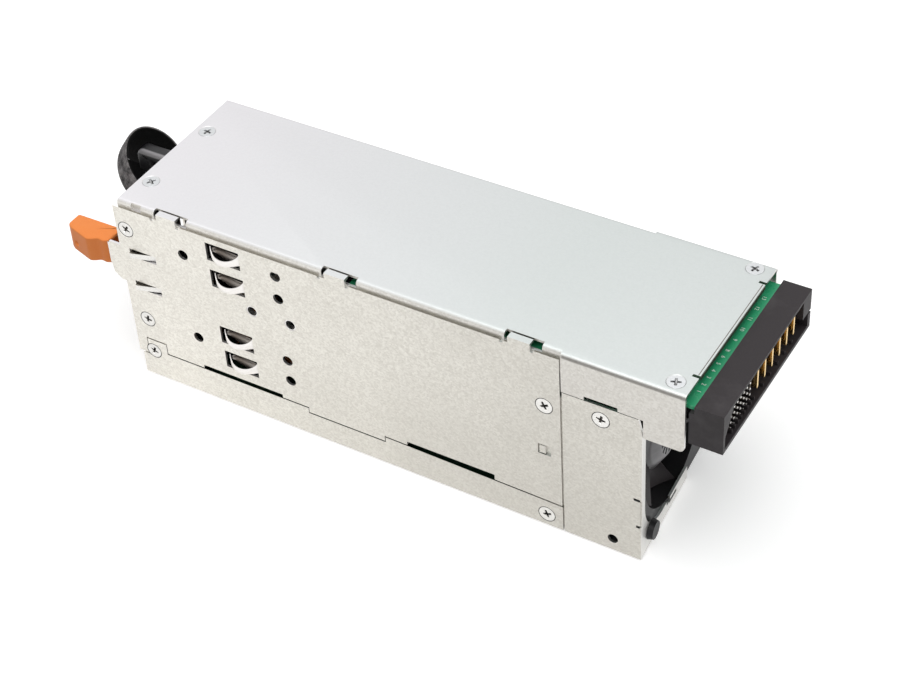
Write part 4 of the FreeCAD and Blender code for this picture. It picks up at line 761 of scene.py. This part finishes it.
def bowed_springs():
    """Contact springs: a strip that rises out of its window in a low bow, turns in behind the
    window's rear edge and comes back inside.

    Centre line: a cubic B-spline through the bends, (x, depth) from the window's rear edge and
    the panel's face. The lower edge climbs by 4.6 * (1 - x / 7)^2 towards the rear turn and by
    0.7 towards the front end. The upper edge of the outer run sinks by a half ellipse 3.7 deep, and
    that of the inner run lies 2.1 lower.
    """
    near = box_of("near_side_panel")[0][1]
    line = rounded_curve([(18.4, 1.15), (16.0, 1.15), (14.4, 1.1), (13.4, 0.5), (12.0, -0.5),
                          (9.6, -1.5), (7.0, -1.9), (4.4, -1.6), (2.4, -0.4), (1.5, 1.2),
                          (2.4, 2.3), (4.4, 2.5), (8.0, 2.2), (12.6, 1.9)], 110)
    half_thick, behind_window = 0.175, 1.4
    ahead = unit(np.gradient(line, axis=0))
    x, depth = line.T
    outer = smooth_step(0, 6, np.argmin(x) - np.arange(len(x)))
    scoop = 3.7 * np.sqrt(np.clip(1 - ((x - 8.2) / 6.0) ** 2, 0, 1))
    sink = outer * scoop + (1 - outer) * 2.1
    climb = 4.6 * np.clip(1 - x / 7.0, 0, 1) ** 2 + 0.7 * smooth_step(8.0, 14.0, x)
    section = ((-1, 0.05), (-1, 0.95), (-0.5, 1.0), (0.5, 1.0), (1, 0.95), (1, 0.05),
               (0.5, 0.0), (-0.5, 0.0))
    parts = []
    for low, high in solids_of("grounding_springs"):
        bottom, top = low[2] + climb, high[2] - sink
        start = low[0] - behind_window
        rows = [np.stack([start + x - ahead[:, 1] * side * half_thick,
                          near + depth + ahead[:, 0] * side * half_thick,
                          bottom + (top - bottom) * level], axis=-1) for side, level in section]
        parts.append(capped_sheet(np.stack(rows, axis=1)))
    case_piece("contact_springs", parts, 40, SPRING_STEEL, "spring_steel", "grounding_springs")


def end_lip():
    """The rolled edge of the cover between its two relief slots: a quarter circle of 1.1 mm
    and a drop, 0.4 mm thick."""
    low, high = box_of("top_cover")
    a = np.linspace(math.pi / 2, 0, 9)
    curl = np.column_stack([np.cos(a), np.sin(a)])
    outer = (-0.95, -1.08) + 1.12 * curl
    inner = ((-0.95, -1.08) + 0.72 * curl)[::-1]
    section = np.concatenate([outer, [(0.17, -1.9), (-0.23, -1.9)], inner])
    rows = np.array([np.column_stack([high[0] + section[:, 0], np.full(len(section), y),
                                      high[2] + section[:, 1]])
                     for y in (low[1] + 11.6, high[1] - 10.9)])
    case_piece("end_lip", [capped_sheet(rows)], 40, SPRING_STEEL, "cover_steel")


# ---------------------------------------------------------------- fasteners

def cross_screw(length, head=3.45, shank=1.22):
    """A countersunk screw, head flush at z = 0 and shank down -Z.

    The head is a polar grid lowered by a cross: depth 1.2 at the middle falling to 0.5 at the
    arm ends, wherever either coordinate is narrower than the arm.
    """
    count, arm, ease = 96, 0.40, 0.08
    radius = np.concatenate([[0.0], np.linspace(0.08, 2.2, 26), np.linspace(2.4, head - 0.3, 5)])
    r, a = np.meshgrid(radius, full_circle(count), indexing="ij")
    x, y = r * np.cos(a), r * np.sin(a)

    def blade(across, along):
        return ((1 - smooth_step(arm - ease, arm + ease, np.abs(across)))
                * (1 - smooth_step(1.62, 1.85, np.abs(along))))

    depth = 1.2 - 0.7 * smooth_step(0.2, 1.7, r)
    top = np.stack([x, y, -np.maximum(blade(x, y), blade(y, x)) * depth], axis=-1)
    rest = spun([(head - 0.24, -0.06), (head - 0.2, -0.45), (head - 0.1, -0.5), (shank, -1.6),
                 (shank, -length + 0.3), (shank - 0.3, -length), (0.0, -length)], count)
    return np.concatenate([top, rest])


def cross_screws(node, axis, material, painted_shadow_ring):
    """All the screws of one node, each turned by its own angle about its axis. Where asked,
    each has a painted shadow round its head: a black dished ring 0.25 mm wide where the gap's
    shade falls."""
    parts, painted_shadow_rings = [], []
    way = np.array(axis, float)
    draw = np.random.default_rng(7)
    ring = spun([(3.22, 0.012), (3.28, 0.02), (3.41, 0.02), (3.47, 0.012), (3.41, -0.1),
                 (3.28, -0.1)], 64)
    for low, high in solids_of(node):
        reach = (high - low) / 2 @ np.abs(way)
        place = (low + high) / 2 + way * reach
        turn = turned_about_z(draw.uniform(0, math.pi / 2))
        screw = cross_screw(2 * reach) @ turn.T
        parts.append(sheet(turned_to(screw, axis, place), wrap_columns=True))
        painted_shadow_rings.append(ring_sheet(turned_to(ring, axis, place)))
    case_piece(node + "_cross", parts, 35, material, "screw_steel", node)
    # A black ring piece round each head as a painted shadow in the gap.
    if painted_shadow_ring:
        case_piece(node + "_painted_shadow", painted_shadow_rings, 35, BLACK, "screw_steel", node)


bowed_springs()
end_lip()
cross_screws("side_screws", (0, -1, 0), SIDE_SCREW_STEEL, True)
cross_screws("cover_screws", (0, 0, 1), COVER_SCREW_STEEL, False)


# ---------------------------------------------------------------- latch tab, handle and strap

def pressed_out(thing, name, parts):
    """Cuts a hollow out of a piece and keeps the result as its mesh."""
    tool = in_scene(name, closed_mesh(name, parts))
    hollow = thing.modifiers.new(name, "BOOLEAN")
    hollow.object = tool
    hollow.solver = "EXACT"
    bpy.context.view_layer.update()
    shown = thing.evaluated_get(bpy.context.evaluated_depsgraph_get())
    made = bpy.data.meshes.new_from_object(shown)
    thing.modifiers.clear()
    thing.data = made
    bpy.data.objects.remove(tool)


def finger_tab():
    """The moulded latch tab: an eased slab on the tab's plan, whose near side steps in behind
    its highest point to make a finger groove.

    A round dimple 0.7 mm deep is pressed in towards the tip, and the mouth at the panel end is
    hollow.
    """
    low, high = box_of("release_tab")
    corner = (box_of("rear_panel")[0][0], box_of("near_side_panel")[0][1])
    rim_ease, rim_steps, finest = 0.7, 5, 0.45
    outline = rounded_outline(
        [(-29.0, 9.5), (-29.0, 3.0), (-27.0, 1.6), (-17.0, -1.4), (-15.2, -0.6), (-13.2, 0.9),
         (-10.8, 0.4), (-8.5, 1.5), (-8.4, 9.8)],
        [1.2, 1.2, 1.0, 0.9, 0.8, 1.2, 1.0, 0.5, 0.5], 7)
    fine = []
    for a, b in zip(outline, np.roll(outline, -1, axis=0)):
        steps = max(1, int(np.linalg.norm(b - a) / finest))
        fine.append(a + (b - a) * (np.arange(steps)[:, None] / steps))
    rim = pillow(np.concatenate(fine), low[2], high[2], rim_ease, rim_steps)
    levels = np.linspace(low[2] + rim_ease, high[2] - rim_ease, 26)[1:-1]
    wall = np.repeat(rim[rim_steps - 1][None], len(levels), axis=0)
    wall[:, :, 2] = levels[:, None]
    rows = np.concatenate([rim[:rim_steps], wall, rim[rim_steps:]])
    from_dimple = np.hypot(rows[:, :, 0] + 24.6, (rows[:, :, 2] - (low[2] + 4.2)) * 0.85)
    near_side = rows[:, :, 1] < 4.0
    rows[:, :, 1] += near_side * 0.7 * (1 - smooth_step(0.5, 1.5, from_dimple))
    rows[:, :, :2] += corner
    tab = piece("finger_tab", closed_mesh("finger_tab", [capped_sheet(rows)], 32), ORANGE,
                "latch", "orange_plastic", "release_tab")
    mouth = rounded_outline([(-16.0, 3.4), (-6.0, 3.4), (-6.0, 8.4), (-16.0, 8.4)], 0.6, 4)
    hollow = pillow(mouth + corner, low[2] + 1.3, high[2] - 1.3, 0.4, 3)
    pressed_out(tab, "mouth", [capped_sheet(hollow)])


def pull_handle():
    """A U of moulded bar: a rounded section carried round two bent corners, with thinner legs
    than grip."""
    low, high = box_of("handle")
    y, thick = (low[1] + high[1]) / 2, high[1] - low[1]
    leg, grip, bend = 4.8, 7.0, 0.6
    z0, z1 = low[2] + leg / 2, high[2] - leg / 2
    inside = low[0] + grip / 2 + bend
    a = np.linspace(0, math.pi / 2, 10)
    up_turn = np.column_stack([inside - bend * np.sin(a), z1 - bend + bend * np.cos(a)])
    down_turn = np.column_stack([inside - bend * np.cos(a), z0 + bend - bend * np.sin(a)])
    path = np.concatenate([[(high[0], z1)], up_turn, down_turn, [(high[0], z0)]])
    growing = (grip - leg) * a / a[-1]
    size = np.concatenate([[leg], leg + growing, grip - growing, [leg]])
    ahead = unit(np.gradient(path, axis=0))
    ahead[[0, -1]] = ((-1, 0), (1, 0))
    rows = []
    for (px, pz), (dx, dz), s in zip(path, ahead, size):
        across, up = round_box(thick, s, 1.5, 6).T
        rows.append(np.stack([px + dz * up, y + across, pz - dx * up], axis=-1))
    case_piece("pull_bar", [capped_sheet(np.array(rows))], 40, HANDLE_BLACK, "black_plastic",
               "handle")


def strap_ring():
    """The hook-and-loop band: a flat section carried round a slightly uneven ellipse.

    Radius = ellipse * (1 + 0.006 sin 3a). The section is thinner at its two edges by a sixth
    power, and on the far side its lower edge hangs up to 15 mm lower, where the free end is
    folded back. The band's inner turn, which holds it on the handle, crosses low inside the
    ring: a strip 11 to 13 mm wide that sags by 1.2 mm and is drawn in to the ring's inner face.
    """
    rear = box_of("rear_panel")[0][0]
    centre = np.array((rear - 21.7, 9.6, 61.05))
    major, minor, thick, wide, hang = 15.7, 11.9, 1.5, 9.8, 15.0
    tilt, lean = math.radians(145.0), math.radians(34.0)
    tip = np.array([[math.cos(lean), 0, math.sin(lean)], [0, 1, 0],
                    [-math.sin(lean), 0, math.cos(lean)]])
    laid = turned_about_z(tilt).T @ tip.T
    angle = full_circle(180)
    level = np.zeros_like(angle)
    ripple = 1 + 0.006 * np.sin(3 * angle + 0.6)
    ring = np.stack([major * ripple * np.cos(angle), minor * ripple * np.sin(angle), level],
                    axis=-1)
    out = unit(np.stack([np.cos(angle) / major, np.sin(angle) / minor, level], axis=-1))
    v = np.linspace(-1, 1, 13)
    face = thick / 2 * (1 - 0.25 * np.abs(v) ** 6)
    section = np.concatenate([np.stack([face, v * wide / 2], axis=-1),
                              np.stack([-face, v * wide / 2], axis=-1)[::-1]])
    band = swept(ring, out, np.tile((0.0, 0.0, 1.0), (len(ring), 1)), section)
    far_side = math.sin(tilt) * out[:, 0] + math.cos(tilt) * out[:, 1]
    lower_edge = smooth_step(0.5, -0.9, section[:, 1] / (wide / 2))
    band[:, :, 2] -= hang * smooth_step(0.0, 0.8, far_side)[:, None] * lower_edge[None]
    side, run = np.meshgrid(np.linspace(-1, 1, 15), np.linspace(0, 1, 19), indexing="ij")
    strip = np.stack([rear - 28.4 - 2.4 * run + (5.6 + run) * side, 3.4 + 9.6 * run,
                      57.6 - 1.2 * np.sin(math.pi * run)], axis=-1)
    inside = (strip - centre) @ laid.T
    reach = np.hypot(inside[:, :, 0] / (major - 0.9), inside[:, :, 1] / (minor - 0.9))
    inside[:, :, :2] /= np.maximum(reach, 1.0)[:, :, None]
    strip = inside @ laid + centre
    strip = np.concatenate([strip + (0, 0, 0.5), strip[:, ::-1] - (0, 0, 0.5)], axis=1)
    mesh = closed_mesh("strap_band", [ring_sheet(band @ laid + centre), capped_sheet(strip)], 50)
    within = (points_of(mesh) - centre) @ laid.T
    inner = np.hypot(within[:, 0] / major, within[:, 1] / minor) < 1.0
    mesh.attributes.new("inner", "FLOAT", "POINT").data.foreach_set(
        "value", inner.astype(np.float32))
    piece("strap_band", mesh, STRAP_CLOTH, "case", "strap_fabric", "cord_strap")


finger_tab()
pull_handle()
strap_ring()


# ---------------------------------------------------------------- windings and cans

def wound_ring(node, axis, turns, wire):
    """A toroid on a moulded foot: a dark core with turns of round wire lying on it side by
    side.

    A turn at angle t round the ring follows a rounded rectangle in the ring's section; the
    wire's surface is that line plus wire * (cos f * outwards + sin f * along the ring).
    """
    foot = 2.5
    low, high = box_of(node)
    low[2] += foot
    across = int(np.argmax(np.abs(axis)))
    size = high - low
    centre = (low + high) / 2
    thick, outer = size[across], np.delete(size, across).min() / 2
    inner = outer * 0.42

    def section(gap, radius, steps):
        a, b, h = inner + gap, outer - gap, thick / 2 - gap
        return rounded_outline([(a, -h), (b, -h), (b, h), (a, h)], radius, steps)

    core = ring_sheet(turned_to(spun(section(wire * 2, 1.0, 4), 64), axis, centre))
    path = section(wire, 2.0, 6)
    ahead = unit(np.roll(path, -1, axis=0) - np.roll(path, 1, axis=0))
    out = np.stack([ahead[:, 1], -ahead[:, 0]], axis=-1)
    around = full_circle(8)[None, :, None]
    rings = []
    for turn in full_circle(turns):
        radial, along, _ = turned_about_z(turn).T
        up = np.array([0, 0, 1.0])
        line = path[:, :1] * radial + path[:, 1:] * up
        way = out[:, :1] * radial + out[:, 1:] * up
        grid = line[:, None] + wire * (np.cos(around) * way[:, None] + np.sin(around) * along)
        rings.append(ring_sheet(turned_to(grid, axis, centre)))
    base = pillow(round_box(12.0, 8.0, 0.8) + centre[:2], low[2] - foot, low[2] + 0.6, 0.3, 3)
    case_piece(node + "_core", [core, capped_sheet(base)], 40, FERRITE, "copper", node)
    case_piece(node + "_wire", rings, 60, COPPER, "copper", node)


def cans(node, material, groove):
    """Standing capacitors: a sleeved can whose rim turns over a bare, scored top."""
    parts = []
    for low, high in solids_of(node):
        r, h = (high[0] - low[0]) / 2, high[2] - low[2]
        profile = [(0, 0), (r - 0.6, 0), (r - 0.15, 0.15), (r, 0.6), (r, groove),
                   (r - 0.5, groove + 0.5), (r - 0.5, groove + 1.1), (r, groove + 1.7),
                   (r, h - 0.8), (r - 0.2, h - 0.25), (r - 0.7, h), (r - 1.5, h),
                   (r - 1.9, h - 0.5), (0, h - 0.5)]
        foot = ((low[0] + high[0]) / 2, (low[1] + high[1]) / 2, low[2])
        parts.append(sheet(spun(profile) + foot, wrap_columns=True))
    case_piece(node + "_cans", parts, 35, material, "can_sleeve", node)


wound_ring("power_factor_choke", (0, 1, 0), 44, 0.62)
wound_ring("input_filter_choke", (0, 0, 1), 30, 0.55)
cans("bulk_capacitors", SLEEVE, 3.0)


# ---------------------------------------------------------------- marks on the board

def board_numbers():
    """Plain pin numbers in pale ink along the output board's front edge: seven over the
    signal pins and one over each pair of power blades."""
    high = box_of("output_board")[1]
    size, from_edge, ink = 2.1, 2.5, 0.012
    pins = rows_across("signal_contacts", 1)
    blades = rows_across("power_contacts", 1)
    places = [*np.linspace(pins[0] - 1.5, pins[-1] + 6.0, 7),
              *((a + b) / 2 for a, b in zip(blades[::2], blades[1::2]))]
    for number, y in enumerate(places, 1):
        name = f"number_{number}"
        curve = bpy.data.curves.new(name, "FONT")
        curve.body = str(number)
        curve.size = size * MM
        curve.align_x, curve.align_y = "CENTER", "CENTER"
        curve.extrude = 0.01 * MM
        writing = in_scene(name, curve)
        bpy.context.view_layer.update()
        mesh = bpy.data.meshes.new_from_object(writing)
        bpy.data.objects.remove(writing)
        place = ((high[0] - from_edge) * MM, y * MM, (high[2] + ink) * MM)
        mesh.transform(Matrix.Translation(place) @ Matrix.Rotation(math.radians(-90), 4, "Z"))
        piece(name, mesh, INK, "case", "green_board")


board_numbers()


# ---------------------------------------------------------------- stage, light and camera

WHITE = (1.0, 1.0, 1.0, 1.0)


def rays_to_the_eye(tree):
    """One for rays that are seen directly, in a reflection or through glass."""
    path = add(tree, "LightPath").outputs
    seen = maths(tree, "MAXIMUM", path["Is Camera Ray"], path["Is Glossy Ray"])
    return maths(tree, "MAXIMUM", seen, path["Is Transmission Ray"])


def stage_plane():
    """A pale floor that stays white to the eye and keeps a soft shadow."""
    size, low, glow = 3.0, -0.0005, 0.35
    mesh = bpy.data.meshes.new("floor")
    mesh.from_pydata([(-size, -size, low), (size, -size, low), (size, size, low),
                      (-size, size, low)], [], [(0, 1, 2, 3)])
    floor = in_scene("floor", mesh)
    material, tree, shader = new_material("floor paper")
    shader.inputs["Base Color"].default_value = (0.86, 0.86, 0.86, 1)
    shader.inputs["Roughness"].default_value = 0.9
    shader.inputs["Emission Color"].default_value = WHITE
    feed(tree, maths(tree, "MULTIPLY", rays_to_the_eye(tree), glow),
         shader.inputs["Emission Strength"])
    mesh.materials.append(material)


def soft_world():
    """White seen directly and in reflections, a plain grey light otherwise."""
    world = bpy.data.worlds.new("studio")
    bpy.context.scene.world = world
    world.use_nodes = True
    tree = world.node_tree
    tree.nodes.clear()
    strength = remap(tree, rays_to_the_eye(tree), 0.0, 1.0, 0.6, 1.0)
    background = add(tree, "Background", Color=WHITE, Strength=strength)
    tree.links.new(background.outputs[0], add(tree, "OutputWorld").inputs[0])


def soft_lamp(name, place, target, size, power):
    """A large square lamp aimed at a point."""
    light = bpy.data.lights.new(name, "AREA")
    light.shape = "SQUARE"
    light.size = size
    light.energy = power
    lamp = in_scene(name, light)
    lamp.location = place
    aim = Vector(target) - Vector(place)
    lamp.rotation_euler = aim.to_track_quat("-Z", "Y").to_euler()


def view_camera():
    """Camera set by its place, its axes and its lens."""
    data = bpy.data.cameras.new("camera")
    data.sensor_width = 36.0
    data.lens = 82.0
    data.shift_x, data.shift_y = -0.00745, -0.07707
    data.clip_start, data.clip_end = 0.01, 20.0
    eye = Vector((0.31546, -0.47977, 0.53923))
    right = Vector((0.86233933, 0.50389496, -0.04960591))
    back = Vector((0.41671032, -0.65063941, 0.63483925))
    turn = Matrix((right, back.cross(right), back)).transposed().to_4x4()
    camera = in_scene("camera", data)
    camera.matrix_world = Matrix.Translation(eye) @ turn
    bpy.context.scene.camera = camera


stage_plane()
soft_world()
soft_lamp("key", (0.15, -0.45, 1.15), (0, 0, 0.03), 0.9, 5.0)
soft_lamp("top", (-0.35, 0.35, 1.25), (0, 0, 0.05), 1.1, 2.5)
soft_lamp("rim", (0.95, 0.35, 0.55), (0.05, 0, 0.05), 0.6, 1.2)
view_camera()
bpy.context.scene.view_settings.view_transform = "Standard"

bpy.context.view_layer.update()
